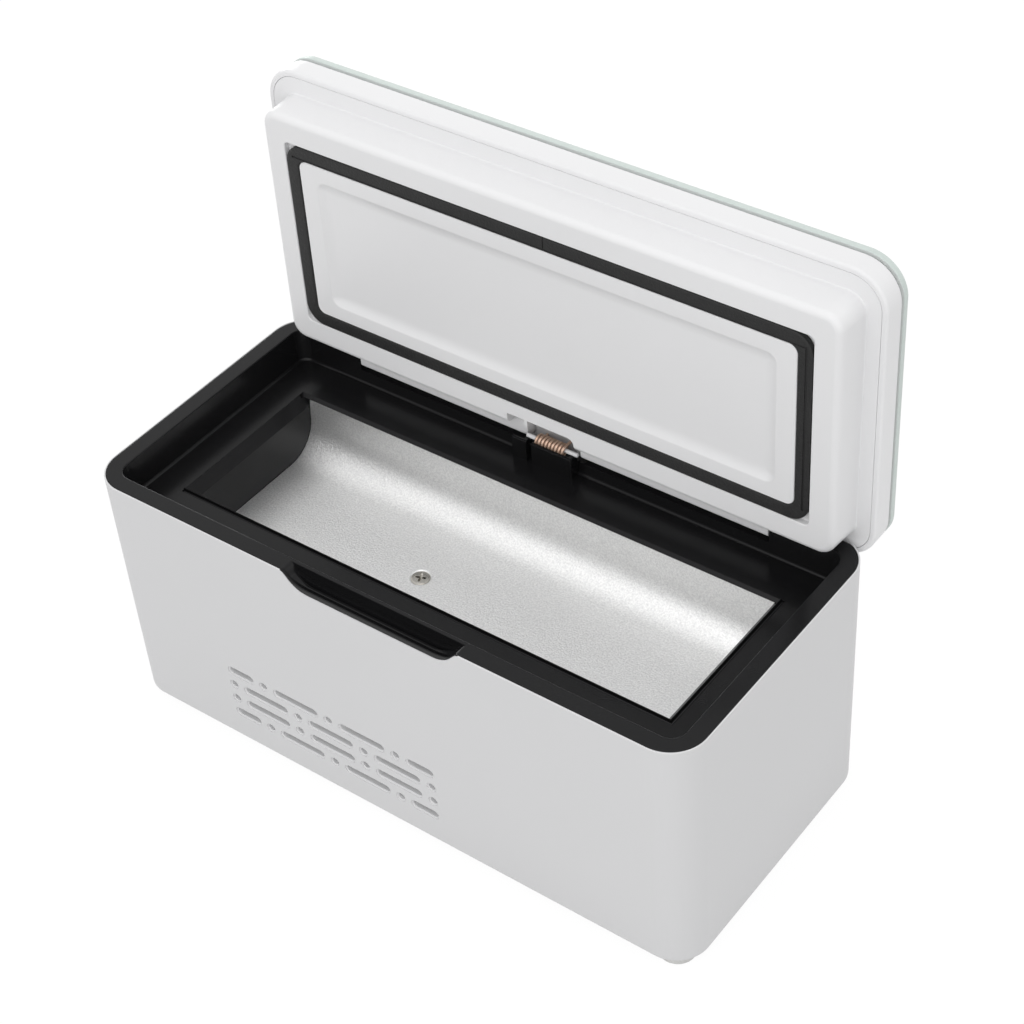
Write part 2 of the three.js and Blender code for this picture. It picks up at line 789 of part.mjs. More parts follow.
function trayBody() {
  const points = [...trayProfile(traySheet), ...trayProfile(0).reverse()];
  const sheet = alongX(points, trayLeft + partGap, trayRight - partGap);
  const cone = post(trayScrewX, trayScrewY, trayUnderZ - seatGap, trayFloorZ,
    screwCoreRadius + partGap, trayScrewRing);
  return sheet.subtract(cone).subtract(
    post(trayScrewX, trayScrewY, trayFloorZ - seatGap, trayFloorZ + overrun, trayScrewRing));
}

function trayScrewBody() {
  const headTop = trayFloorZ - seatGap;
  const head = post(trayScrewX, trayScrewY, headTop - trayScrewDepth, headTop, screwCoreRadius,
    trayScrewHead);
  const core = post(trayScrewX, trayScrewY, trayUnderZ - trayScrewReach, headTop - trayScrewDepth / 2,
    screwCoreRadius, screwCoreRadius, smallSides);
  return join([head, core]).subtract(cross(trayScrewX, trayScrewY, headTop));
}

function coldBlockBody() {
  const block = box(coolerX - coldBlockLength / 2, coolerX + coldBlockLength / 2,
    coolerY - coldBlockWidth / 2, coolerY + coldBlockWidth / 2, coldBottomZ, coldTopZ);
  let body = block.subtract(post(trayScrewX, trayScrewY, trayUnderZ - trayScrewReach - partGap,
    coldTopZ + overrun, screwCoreRadius + partGap, screwCoreRadius + partGap, smallSides));
  for (const side of [-1, 1]) {
    const x = coolerX + side * sinkScrewReachX;
    body = body.subtract(post(x, coolerY, coldBottomZ - overrun, coldBottomZ + sinkScrewReach + partGap,
      screwCoreRadius + partGap, screwCoreRadius + partGap, smallSides));
  }
  return body;
}

function moduleBody() {
  const half = moduleSize / 2;
  return box(coolerX - half, coolerX + half, coolerY - half, coolerY + half, moduleBottomZ, moduleTopZ);
}

function sinkBody() {
  const minY = coolerY - sinkWidth / 2;
  const maxY = coolerY + sinkWidth / 2;
  const bodies = [box(coolerX - sinkLength / 2, coolerX + sinkLength / 2, minY, maxY, sinkBaseZ, sinkTopZ)];
  for (let i = -finsEachSide; i <= finsEachSide; i += 1) {
    const x = coolerX + i * finPitch;
    bodies.push(box(x - finThick / 2, x + finThick / 2, minY, maxY, finZ, sinkBaseZ + seatGap));
  }
  let body = join(bodies);
  for (const side of [-1, 1]) {
    const x = coolerX + side * sinkScrewReachX;
    body = body.subtract(post(x, coolerY, sinkBaseZ - overrun, sinkTopZ + overrun,
      screwCoreRadius + partGap, screwCoreRadius + partGap, smallSides));
  }
  return body;
}

function sinkScrewBody(side) {
  const x = coolerX + side * sinkScrewReachX;
  const seat = sinkBaseZ - seatGap;
  return join([
    post(x, coolerY, seat - screwHeadDepth, seat, screwHeadRadius),
    post(x, coolerY, seat - seatGap, coldBottomZ + sinkScrewReach, screwCoreRadius, screwCoreRadius,
      smallSides),
  ]);
}

function sensorBody() {
  return rodX(sensorX, sensorX + sensorLength, trayY, trayUnderZ - seatGap - sensorRadius, sensorRadius,
    smallSides);
}

function foamTubBody() {
  const outerX = endWall + partGap + foamWall;
  const top = ledgeZ - frameWall - seatGap;
  const halfY = trayHalf + traySheet + partGap + foamWall;
  const block = box(trayLeft - outerX, trayRight + outerX, trayY - halfY, trayY + halfY,
    trayUnderZ - foamFloor, top);
  const wellHalf = trayHalf + traySheet + partGap + endWall + partGap;
  const endsAt = endWall + partGap;
  const hollow = alongX([...trayProfile(traySheet + partGap), [trayY - trayHalf, top + overrun],
    [trayY + trayHalf, top + overrun]], trayLeft - endsAt, trayRight + endsAt);
  const leftEnd = box(trayLeft - endsAt, trayLeft + partGap, trayY - wellHalf, trayY + wellHalf,
    trayUnderZ - seatGap - partGap, top + overrun);
  const leftShoulder = box(trayLeft - endsAt - leftEndBevel, trayLeft + partGap, trayY - wellHalf,
    trayY + wellHalf, ledgeZ - frameWall / 2 - leftEndBevel - partGap, top + overrun);
  const rightEnd = box(trayRight - partGap, trayRight + endsAt, trayY - wellHalf, trayY + wellHalf,
    trayUnderZ - seatGap - partGap, top + overrun);
  const window = box(coolerX - coldBlockLength / 2 - partGap, coolerX + coldBlockLength / 2 + partGap,
    coolerY - coldBlockWidth / 2 - partGap, coolerY + coldBlockWidth / 2 + partGap,
    trayUnderZ - foamFloor - overrun, trayFloorZ);
  const sensor = box(sensorX - partGap, sensorX + sensorLength + partGap, trayY - sensorRadius - partGap,
    trayY + sensorRadius + partGap, trayUnderZ - sensorRadius * 2 - partGap, trayFloorZ);
  const cup = magnetRadius + partGap * 2 + magnetCup;
  const magnet = post(0, magnetY, top - magnetThick - partGap, top + overrun, cup);
  return [hollow, leftEnd, leftShoulder, rightEnd, window, sensor, magnet]
    .reduce((whole, cut) => whole.subtract(cut), block);
}

// Fan

function fanHousingBody() {
  const half = fanSize / 2;
  let body = box(coolerX - half, coolerX + half, coolerY - half, coolerY + half, fanZ, fanTopZ)
    .subtract(post(coolerX, coolerY, fanZ - overrun, fanTopZ + overrun, fanBore, fanBore, roundSides * 2));
  const strut = fanStrutWidth / 2;
  body = join([
    body,
    post(coolerX, coolerY, fanZ, fanZ + fanHubPlate, fanHub),
    box(coolerX - fanBore - strut, coolerX + fanBore + strut, coolerY - strut, coolerY + strut,
      fanZ, fanZ + fanHubPlate),
    box(coolerX - strut, coolerX + strut, coolerY - fanBore - strut, coolerY + fanBore + strut,
      fanZ, fanZ + fanHubPlate),
  ]);
  body = body.subtract(post(coolerX, coolerY, fanZ - overrun, fanTopZ, fanAxle + runningGap));
  for (const [x, y] of fanScrewPlaces()) {
    body = body.subtract(post(x, y, fanZ - overrun, fanTopZ + overrun, screwCoreRadius + partGap,
      screwCoreRadius + partGap, smallSides));
  }
  return body;
}

function fanScrewPlaces() {
  const half = fanSize / 2 - fanScrewSetIn;
  return [[1, 1], [-1, 1], [-1, -1], [1, -1]].map(([signX, signY]) =>
    [coolerX + signX * half, coolerY + signY * half]);
}

function impellerBody() {
  const low = fanZ + fanHubPlate + fanFloorGap;
  const high = fanTopZ - fanTopGap;
  const bodies = [
    post(0, 0, low, high, fanHub),
    post(0, 0, fanZ, low + seatGap, fanAxle),
  ];
  const middle = (fanHub + fanBladeTip) / 2 - seatGap;
  const reach = fanBladeTip - fanHub + overrun / 2;
  const lean = THREE.MathUtils.degToRad(fanBladeLean);
  for (let i = 0; i < fanBlades; i += 1) {
    const blade = new THREE.BoxGeometry(reach, fanBladeThick, (high - low) / Math.cos(lean));
    blade.rotateX(lean);
    blade.translate(middle - overrun / 4, 0, (low + high) / 2);
    blade.rotateZ(i / fanBlades * Math.PI * 2);
    bodies.push(solid(blade));
  }
  const space = post(0, 0, low, high, fanBladeTip, fanBladeTip, roundSides * 2);
  const wheel = join(bodies.slice(2).concat(bodies[0])).intersect(space);
  const geometry = geometryOf(join([wheel, bodies[1]]));
  geometry.translate(coolerX, coolerY, 0);
  return solid(geometry);
}

function fanScrewBody(x, y) {
  const seat = fanTopZ + seatGap;
  return join([
    post(x, y, seat, seat + screwHeadDepth, screwHeadRadius),
    post(x, y, baseTopZ - baseThick / 2, seat + seatGap, screwCoreRadius, screwCoreRadius, smallSides),
  ]).subtract(cross(x, y, seat + screwHeadDepth));
}

// Base plate and feet

function baseScrewPlaces() {
  const y = innerHalfY - bossSetIn;
  return [[1, 1], [-1, 1], [-1, -1], [1, -1]].map(([signX, signY]) => [signX * bossX, signY * y]);
}

function footPlaces() {
  return [[1, 1], [-1, 1], [-1, -1], [1, -1]].map(([signX, signY]) => [signX * footX, signY * footY]);
}

function basePlateBody() {
  const inset = sideTaper + shellWall + partGap;
  const corner = cornerRadius - shellWall - partGap;
  let body = loft([
    [baseZ, halfLength - inset, halfDepth - inset, corner],
    [baseTopZ, halfLength - inset, halfDepth - inset, corner],
  ]);
  for (const [x, y] of fanScrewPlaces()) {
    body = body.add(post(x, y, baseZ + seatGap, fanZ - seatGap, standRadius));
  }
  for (const y of boardScrewPlaces) {
    body = body.add(post(boardX, y, baseZ + seatGap, boardZ - seatGap, standRadius));
  }
  for (const [x, y] of fanScrewPlaces()) {
    body = body.subtract(post(x, y, baseTopZ - baseThick / 2 - partGap, fanZ + overrun,
      screwCoreRadius + partGap, screwCoreRadius + partGap, smallSides));
  }
  for (const y of boardScrewPlaces) {
    body = body.subtract(post(boardX, y, baseTopZ, boardZ + overrun,
      screwCoreRadius + partGap, screwCoreRadius + partGap, smallSides));
  }
  for (const [x, y] of baseScrewPlaces()) {
    const high = baseZ + screwHeadDepth + partGap;
    body = body.subtract(post(x, y, baseZ - overrun, high, screwHeadRadius + partGap));
    body = body.subtract(post(x, y, baseZ, baseTopZ + overrun, screwCoreRadius + partGap,
      screwCoreRadius + partGap, smallSides));
  }
  for (const [x, y] of footPlaces()) {
    body = body.subtract(post(x, y, baseZ - overrun, baseTopZ + overrun, footStud + partGap));
  }
  for (let i = 0; i < intakeSlots; i += 1) {
    const offset = (i - (intakeSlots - 1) / 2) * intakePitch;
    const half = Math.sqrt(fanBore ** 2 - offset ** 2) - intakeSlotWidth;
    body = body.subtract(box(coolerX + offset - intakeSlotWidth / 2, coolerX + offset + intakeSlotWidth / 2,
      coolerY - half, coolerY + half, baseZ - overrun, baseTopZ + overrun));
  }
  return body;
}

function footBody(x, y) {
  const high = shellBottom - seatGap;
  return join([
    post(x, y, 0, footEdge, footRadius - footEdge, footRadius),
    post(x, y, footEdge, high, footRadius),
    post(x, y, high - seatGap, high + footStudHeight, footStud, footStud, smallSides),
  ]);
}

function baseScrewBody(x, y) {
  const low = baseZ + seatGap;
  return join([
    post(x, y, low, low + screwHeadDepth, screwHeadRadius),
    post(x, y, low, bossTop - bossRadius, screwCoreRadius, screwCoreRadius, smallSides),
  ]);
}

// Battery

function cellPlaces() {
  return [cellY - cellPitch / 2, cellY + cellPitch / 2];
}

function cellZ() {
  return baseTopZ + seatGap + holderFloor + partGap + cellRadius;
}

function cellBody(y) {
  const half = cellLength / 2;
  return join([
    rodX(cellX - half, cellX + half - cellCapHeight, y, cellZ(), cellRadius),
    rodX(cellX, cellX + half, y, cellZ(), cellCapRadius),
  ]);
}

function holderBody() {
  const halfX = cellLength / 2 + partGap + holderWall;
  const halfY = cellPitch / 2 + cellRadius + partGap + holderWall;
  const low = baseTopZ + seatGap;
  let body = box(cellX - halfX, cellX + halfX, cellY - halfY, cellY + halfY, low, low + holderHeight);
  for (const y of cellPlaces()) {
    body = body.subtract(rodX(cellX - cellLength / 2 - partGap, cellX + cellLength / 2 + partGap, y,
      cellZ(), cellRadius + partGap));
  }
  return body;
}

// Control board and charging socket

function controlBoardBody() {
  const top = boardZ + circuitThick;
  const chip = (x, y) => box(x - chipHalf, x + chipHalf, y - chipHalf, y + chipHalf, top - seatGap,
    top + chipThick);
  let body = join([
    box(boardX - boardHalfX, boardX + boardHalfX, boardFront, boardBack, boardZ, top),
    chip(boardX - boardHalfX / 2, (boardScrewPlaces[0] + boardScrewPlaces[1]) / 2),
    chip(boardX + chipHalf, boardFront + chipHalf * 2),
    post(boardX - boardHalfX / 2, boardFront + coilRadius * 2, top - seatGap, top + coilHeight, coilRadius),
  ]);
  for (const y of boardScrewPlaces) {
    body = body.subtract(post(boardX, y, boardZ - overrun, top + overrun,
      screwCoreRadius + partGap, screwCoreRadius + partGap, smallSides));
  }
  return body;
}

function boardScrewBody(y) {
  const seat = boardZ + circuitThick + seatGap;
  return join([
    post(boardX, y, seat, seat + screwHeadDepth, screwHeadRadius),
    post(boardX, y, baseTopZ + seatGap, seat + seatGap, screwCoreRadius, screwCoreRadius, smallSides),
  ]).subtract(cross(boardX, y, seat + screwHeadDepth));
}

function socketBody() {
  const face = halfDepth - sideTaper - partGap;
  const low = boardZ + circuitThick + seatGap;
  const body = join([
    box(boardX - socketHalf, boardX + socketHalf, socketBodyFront, socketBodyBack, low, low + socketHeight),
    rodY(socketBodyBack - overrun, face, boardX, socketZ, socketBarrel),
  ]).subtract(rodY(face - socketBoreDepth, face + overrun, boardX, socketZ, socketBore));
  return join([body, rodY(face - socketBoreDepth - overrun, face - overrun, boardX, socketZ, socketPin,
    smallSides)]);
}

// Spring and pins

// The spring's centre line: a straight leg, the turns about the pin, and a second leg, all square-ended
function springPath() {
  const points = [];
  const radius = springRadius;
  const steps = Math.round(springTurns * springStepsPerTurn);
  points.push(new THREE.Vector3(-springHalf, springPinY + springLegBack, springZ - radius));
  points.push(new THREE.Vector3(-springHalf, springPinY + springLegBack - springWire, springZ - radius));
  for (let step = 0; step <= steps; step += 1) {
    const angle = -Math.PI / 2 - step / springStepsPerTurn * Math.PI * 2;
    const x = -springHalf + step / steps * springHalf * 2;
    const y = springPinY + radius * Math.cos(angle);
    points.push(new THREE.Vector3(x, y, springZ + radius * Math.sin(angle)));
  }
  points.push(new THREE.Vector3(springHalf, springPinY + springLegBack - springWire, springZ + radius));
  points.push(new THREE.Vector3(springHalf, springPinY + springLegBack, springZ + radius));
  return points;
}

function springBody() {
  const path = springPath();
  const radius = springWire / 2;
  const positions = [];
  const faces = [];
  const axis = new THREE.Vector3(1, 0, 0);
  path.forEach((point, index) => {
    const before = path[Math.max(index - 1, 0)];
    const after = path[Math.min(index + 1, path.length - 1)];
    const along = new THREE.Vector3().subVectors(after, before).normalize();
    const side = new THREE.Vector3().crossVectors(axis, along).normalize();
    const up = new THREE.Vector3().crossVectors(along, side);
    for (let i = 0; i < springSides; i += 1) {
      const angle = i / springSides * Math.PI * 2;
      const offset = side.clone().multiplyScalar(radius * Math.cos(angle))
        .addScaledVector(up, radius * Math.sin(angle));
      positions.push(point.x + offset.x, point.y + offset.y, point.z + offset.z);
    }
  });
  for (let index = 0; index + 1 < path.length; index += 1) {
    for (let i = 0; i < springSides; i += 1) {
      const a = index * springSides + i;
      const b = index * springSides + (i + 1) % springSides;
      faces.push(a, b, b + springSides, a, b + springSides, a + springSides);
    }
  }
  const last = (path.length - 1) * springSides;
  for (let i = 1; i + 1 < springSides; i += 1) {
    faces.push(0, i + 1, i, last, last + i, last + i + 1);
  }
  const geometry = new THREE.BufferGeometry();
  geometry.setAttribute('position', new THREE.Float32BufferAttribute(positions, 3));
  geometry.setIndex(faces);
  return solid(geometry);
}

// The least gap between stretches of the wire that lie more than half a turn apart along it
function springLeastGap() {
  const path = springPath();
  const curve = path.flatMap((point, index) => (index + 1 < path.length
    ? [0, 1, 2, 3].map((part) => point.clone().lerp(path[index + 1], part / 4)) : [point]));
  const apart = springStepsPerTurn * 2;
  let least = Infinity;
  for (let i = 0; i < curve.length; i += 1) {
    for (let j = i + apart; j < curve.length; j += 1) {
      least = Math.min(least, curve[i].distanceTo(curve[j]));
    }
  }
  return least - springWire;
}

// Lid, drawn closed

function pocketBlock() {
  return box(pocketLeft - pocketWall, pocketRight + pocketWall, plugHalfY - pocketDepth - pocketWall,
    plugHalfY - plugEdge / 2, faceZ + plugEdge / 2, flangeTopZ);
}

function pocketCut() {
  const front = plugHalfY - pocketDepth;
  const back = plugHalfY + overrun;
  const low = faceZ - overrun;
  const high = rimZ + pocketTop;
  const ribBack = front + pocketRibDepth;
  return join([
    box(pocketLeft, pocketRibLeft, front, back, low, high),
    box(pocketRibRight, pocketRight, front, back, low, high),
    box(pocketRibLeft - seatGap, pocketRibRight + seatGap, ribBack, back, low, high),
  ]);
}

function lidScrewPlaces() {
  const y = coverHalfY - lidScrewSetIn;
  return [[1, 1], [-1, 1], [-1, -1], [1, -1]].map(([signX, signY]) =>
    [signX * lidScrewX, coverY + signY * y]);
}

function linerBody() {
  const topHalfX = plugHalfX + plugDraft;
  const topHalfY = plugHalfY + plugDraft;
  const plug = loft([
    ...roundedFoot(faceZ, plugHalfX, plugHalfY, plugCorner, plugEdge),
    [flangeZ + seatGap, topHalfX, topHalfY, plugCorner + plugDraft],
  ]);
  const inset = coverRim + partGap;
  const flangeHalfX = coverHalfX - inset;
  const flangeHalfY = coverHalfY - inset;
  const flange = loft([
    [flangeZ, flangeHalfX, flangeHalfY, cornerRadius - inset],
    [flangeTopZ, flangeHalfX, flangeHalfY, cornerRadius - inset],
  ], 0, coverY);
  const hollow = loft([
    [faceZ + plugFloor, plugHalfX - plugWall, plugHalfY - plugWall, plugCorner - plugWall],
    [flangeTopZ + overrun, plugHalfX - plugWall, plugHalfY - plugWall, plugCorner - plugWall],
  ]);
  const grooveOut = partGap + gasketHalfX;
  const grooveOutY = partGap + gasketHalfY;
  const island = gasketWidth + partGap * 2;
  const groove = loft([
    [faceZ - overrun, grooveOut, grooveOutY, grooveCorner],
    [faceZ + grooveDepth, grooveOut, grooveOutY, grooveCorner],
  ]).subtract(loft([
    [faceZ - overrun * 2, grooveOut - island, grooveOutY - island, gasketCorner / 2],
    [faceZ + grooveDepth + overrun, grooveOut - island, grooveOutY - island, gasketCorner / 2],
  ]));
  const panel = loft([
    [faceZ - panelDepth, panelHalfX + panelSlope, panelHalfY + panelSlope, panelCorner + panelSlope],
    [faceZ + panelDepth, panelHalfX - panelSlope, panelHalfY - panelSlope, panelCorner],
  ]);
  let body = join([plug, flange]).subtract(hollow);
  for (const [x, y] of lidScrewPlaces()) {
    body = body.add(post(x, y, flangeTopZ - seatGap, coverInnerZ - seatGap, lidBossRadius));
  }
  for (const [x, y] of lidScrewPlaces()) {
    body = body.subtract(post(x, y, flangeZ + flangeThick / 2, coverInnerZ + overrun,
      screwCoreRadius + partGap, screwCoreRadius + partGap, smallSides));
  }
  return body.add(pocketBlock()).subtract(pocketCut()).subtract(groove).subtract(panel);
}

function coverBody() {
  const step = glassStepInset;
  const outer = loft([
    ...roundedFoot(flangeZ, coverHalfX, coverHalfY, cornerRadius, coverEdge),
    [coverTopZ, coverHalfX, coverHalfY, cornerRadius],
    [coverTopZ, coverHalfX - step, coverHalfY - step, cornerRadius - step],
    [glassZ, coverHalfX - step, coverHalfY - step, cornerRadius - step],
  ], 0, coverY);
  const hollow = loft([
    [flangeZ - overrun, coverHalfX - coverRim, coverHalfY - coverRim, cornerRadius - coverRim],
    [coverInnerZ, coverHalfX - coverRim, coverHalfY - coverRim, cornerRadius - coverRim],
  ], 0, coverY);
  let body = outer.subtract(hollow);
  for (const [x, y] of lidScrewPlaces()) {
    body = body.subtract(post(x, y, glassZ - screwHeadDepth - partGap, glassZ + overrun,
      screwHeadRadius + partGap));
    body = body.subtract(post(x, y, coverInnerZ - overrun, glassZ, screwCoreRadius + partGap,
      screwCoreRadius + partGap, smallSides));
  }
  const depth = boardThick + displayThick + seatGap * 2;
  const pocket = box(-touchBoardHalfX - partGap, touchBoardHalfX + partGap,
    touchBoardY - touchBoardHalfY - partGap, touchBoardY + touchBoardHalfY + partGap,
    glassZ - depth, glassZ + overrun);
  return body.subtract(pocket);
}

function glassBody() {
  const low = glassZ + seatGap;
  return loft([
    [low, coverHalfX, coverHalfY, cornerRadius],
    [lidTopZ, coverHalfX, coverHalfY, cornerRadius],
  ], 0, coverY);
}

function gasketBody() {
  const low = faceZ - gasketProud;
  const high = low + gasketThick;
  const inner = gasketWidth;
  return loft([
    [low, gasketHalfX, gasketHalfY, gasketCorner],
    [high, gasketHalfX, gasketHalfY, gasketCorner],
  ]).subtract(loft([
    [low - overrun, gasketHalfX - inner, gasketHalfY - inner, gasketCorner / 2],
    [high + overrun, gasketHalfX - inner, gasketHalfY - inner, gasketCorner / 2],
  ]));
}

function lidFoamBody() {
  const inset = plugWall + foamMargin;
  const low = faceZ + plugFloor + seatGap;
  const high = coverInnerZ - foamMargin;
  const magnet = magnetRadius + foamMargin;
  const corner = plugCorner - plugWall;
  return loft([
    [low, plugHalfX - inset, plugHalfY - inset, corner],
    [high, plugHalfX - inset, plugHalfY - inset, corner],
  ]).subtract(post(0, magnetY, low - overrun, low + magnetThick + partGap, magnet))
    .subtract(box(pocketLeft - pocketWall - foamMargin, pocketRight + pocketWall + foamMargin,
      plugHalfY - pocketDepth - pocketWall - foamMargin, plugHalfY, low - overrun, high + overrun));
}

function lidMagnetBody() {
  const low = faceZ + plugFloor + seatGap;
  return post(0, magnetY, low, low + magnetThick, magnetRadius);
}

function frameMagnetBody() {
  const high = ledgeZ - frameWall - seatGap * 2;
  return post(0, magnetY, high - magnetThick + seatGap, high, magnetRadius);
}

function touchBoardBody() {
  const low = glassZ - displayThick - boardThick - seatGap;
  return box(-touchBoardHalfX, touchBoardHalfX, touchBoardY - touchBoardHalfY, touchBoardY + touchBoardHalfY,
    low, low + boardThick);
}

function displayBody() {
  const low = glassZ - displayThick;
  return box(-displayHalfX, displayHalfX, touchBoardY - displayHalfY, touchBoardY + displayHalfY,
    low, low + displayThick);
}

function lidScrewBody(x, y) {
  const seat = glassZ - screwHeadDepth - seatGap;
  return join([
    post(x, y, seat, seat + screwHeadDepth, screwHeadRadius),
    post(x, y, flangeTopZ, seat + seatGap, screwCoreRadius, screwCoreRadius, smallSides),
  ]).subtract(cross(x, y, seat + screwHeadDepth));
}

// One of the two bars behind the plug that turn on the hinge pins
function hingeBarBody(side) {
  const front = plugHalfY + plugDraft + partGap;
  const back = halfDepth - barBack;
  const low = rimZ - barDrop;
  const high = flangeZ - partGap;
  const points = [[front, high], [front, low], [back - barEdge, low]];
  for (let step = 1; step <= 3; step += 1) {
    const angle = step / 3 * Math.PI / 2;
    points.push([back - barEdge + barEdge * Math.sin(angle), low + barEdge - barEdge * Math.cos(angle)]);
  }
  points.push([back, high]);
  const inner = side * barGapHalf;
  const outer = side * barHalf;
  const bar = alongX(points, Math.min(inner, outer), Math.max(inner, outer));
  const holeEnd = side * (hingeHalf - hingePinInset - partGap);
  const past = side * (barHalf + overrun);
  return bar.subtract(rodX(Math.min(holeEnd, past), Math.max(holeEnd, past), hingeY, hingeZ,
    hingePinRadius + runningGap));
}

function hingePinBody(side) {
  const inner = side * (hingeHalf - hingePinInset);
  const outer = side * (hingeHalf - hingePinInset + hingePinLength);
  return rodX(Math.min(inner, outer), Math.max(inner, outer), hingeY, hingeZ, hingePinRadius);
}

// Assembly

function addHousing(group) {
  piece(group, 'outer_shell', shellBody(), white());
  piece(group, 'top_frame', frameBody(), black());
  piece(group, 'base_plate', basePlateBody(), white());
  const corners = ['rear_right', 'rear_left', 'front_left', 'front_right'];
  footPlaces().forEach(([x, y], i) => piece(group, `foot_${corners[i]}`, footBody(x, y), footRubber()));
  baseScrewPlaces().forEach(([x, y], i) =>
    piece(group, `base_screw_${corners[i]}`, baseScrewBody(x, y), steel()));
}

function addCooler(group) {
  piece(group, 'cooling_tray', trayBody(), aluminium());
  piece(group, 'tray_screw', trayScrewBody(), steel());
  piece(group, 'tray_insulation', foamTubBody(), foam());
  piece(group, 'cold_block', coldBlockBody(), aluminium());
  piece(group, 'thermoelectric_module', moduleBody(), ceramic());
  piece(group, 'heat_sink', sinkBody(), aluminium());
  piece(group, 'sink_screw_left', sinkScrewBody(-1), steel());
  piece(group, 'sink_screw_right', sinkScrewBody(1), steel());
  piece(group, 'temperature_sensor', sensorBody(), black());
  piece(group, 'fan_housing', fanHousingBody(), black());
  piece(group, 'fan_impeller', impellerBody(), black());
  const corners = ['rear_right', 'rear_left', 'front_left', 'front_right'];
  fanScrewPlaces().forEach(([x, y], i) =>
    piece(group, `fan_screw_${corners[i]}`, fanScrewBody(x, y), steel()));
}

function addPower(group) {
  piece(group, 'battery_holder', holderBody(), black());
  piece(group, 'battery_cell_front', cellBody(cellPlaces()[0]), cellWrap());
  piece(group, 'battery_cell_rear', cellBody(cellPlaces()[1]), cellWrap());
  piece(group, 'control_board', controlBoardBody(), circuit());
  piece(group, 'board_screw_front', boardScrewBody(boardScrewPlaces[0]), steel());
  piece(group, 'board_screw_rear', boardScrewBody(boardScrewPlaces[1]), steel());
  piece(group, 'charging_socket', socketBody(), black());
}

function addHinge(group) {
  piece(group, 'hinge_pin_left', hingePinBody(-1), steel());
  piece(group, 'hinge_pin_right', hingePinBody(1), steel());
  piece(group, 'spring_pin', rodX(-springPinHalf, springPinHalf, springPinY, springZ, springPinRadius),
    white());
  piece(group, 'lid_spring', springBody(), copper());
  piece(group, 'case_magnet', frameMagnetBody(), magnetMetal());
}

function addLid(group) {
  piece(group, 'lid_liner', linerBody(), white());
  piece(group, 'lid_cover', coverBody(), white());
  piece(group, 'lid_glass', glassBody(), glass());
  piece(group, 'lid_gasket', gasketBody(), rubber());
  piece(group, 'lid_insulation', lidFoamBody(), foam());
  piece(group, 'lid_magnet', lidMagnetBody(), magnetMetal());
  piece(group, 'touch_board', touchBoardBody(), circuit());
  piece(group, 'display', displayBody(), displayFilm());
  piece(group, 'hinge_bar_left', hingeBarBody(-1), white());
  piece(group, 'hinge_bar_right', hingeBarBody(1), white());
  const corners = ['rear_right', 'rear_left', 'front_left', 'front_right'];
  lidScrewPlaces().forEach(([x, y], i) =>
    piece(group, `lid_screw_${corners[i]}`, lidScrewBody(x, y), steel()));
}

// How far the open lid reaches back, which with the front face sets the middle of the whole
function openLidBack() {
  const angle = lidOpenAngle * Math.PI / 180;
  const reachY = coverY - coverHalfY - hingeY;
  const reachZ = lidTopZ - hingeZ;
  return hingeY + reachY * Math.cos(angle) + reachZ * Math.sin(angle);
}

const base = new THREE.Group();
addHousing(base);
addCooler(base);
addPower(base);
addHinge(base);

const closedLid = new THREE.Group();
closedLid.position.set(0, -hingeY, -hingeZ);
addLid(closedLid);

const lid = new THREE.Group();
lid.position.set(0, hingeY, hingeZ);
lid.rotation.x = -lidOpenAngle * Math.PI / 180;
lid.add(closedLid);

const insulinCoolingCase = new THREE.Group();
insulinCoolingCase.position.y = (halfDepth - openLidBack()) / 2;
insulinCoolingCase.add(base, lid);

console.log(`least gap of the spring to itself: ${springLeastGap().toFixed(2)} mm`);

export default insulinCoolingCase;
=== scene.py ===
import json
import math

import bmesh
import bpy
import numpy as np
from mathutils import Matrix, Vector


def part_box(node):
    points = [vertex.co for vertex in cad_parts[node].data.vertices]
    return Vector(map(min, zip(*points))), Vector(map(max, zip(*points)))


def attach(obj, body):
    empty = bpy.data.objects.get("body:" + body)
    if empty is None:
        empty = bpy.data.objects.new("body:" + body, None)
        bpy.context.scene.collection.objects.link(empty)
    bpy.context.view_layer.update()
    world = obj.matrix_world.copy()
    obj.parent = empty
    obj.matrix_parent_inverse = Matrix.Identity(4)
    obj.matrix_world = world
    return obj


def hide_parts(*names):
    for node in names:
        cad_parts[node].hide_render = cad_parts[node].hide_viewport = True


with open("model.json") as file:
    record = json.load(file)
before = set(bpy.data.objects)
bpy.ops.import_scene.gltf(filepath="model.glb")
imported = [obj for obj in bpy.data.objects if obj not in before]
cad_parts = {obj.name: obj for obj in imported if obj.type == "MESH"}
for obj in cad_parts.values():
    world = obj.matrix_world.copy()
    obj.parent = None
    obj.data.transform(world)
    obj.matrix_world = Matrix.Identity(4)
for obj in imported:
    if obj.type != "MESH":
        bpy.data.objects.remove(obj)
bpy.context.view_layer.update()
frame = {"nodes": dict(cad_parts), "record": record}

# Sizes in millimetres: x along the case, front at -y, ground at z = 0, y = 0 in the middle of the housing
MM = 0.001
shell_low, shell_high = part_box("outer_shell")
CASE_Y = (shell_low.y + shell_high.y) / 2 / MM
OVER = 2.0  # how far a cutting solid reaches past what it cuts
CORNER_STEPS = 16

# Shell
HALF_X = 100.0
HALF_Y = 45.75
RIM_Z = 83.3
FOOT_Z = 2.0
CORNER = 11.0
TAPER = 0.56
WALL = 2.5
LIP = 0.42
LIP_GAP = 0.1
REBATE = 1.6
FOOT_X = 91.7
FOOT_Y = 38.2
FOOT_RADIUS = 5.5
STUD_RADIUS = 1.8

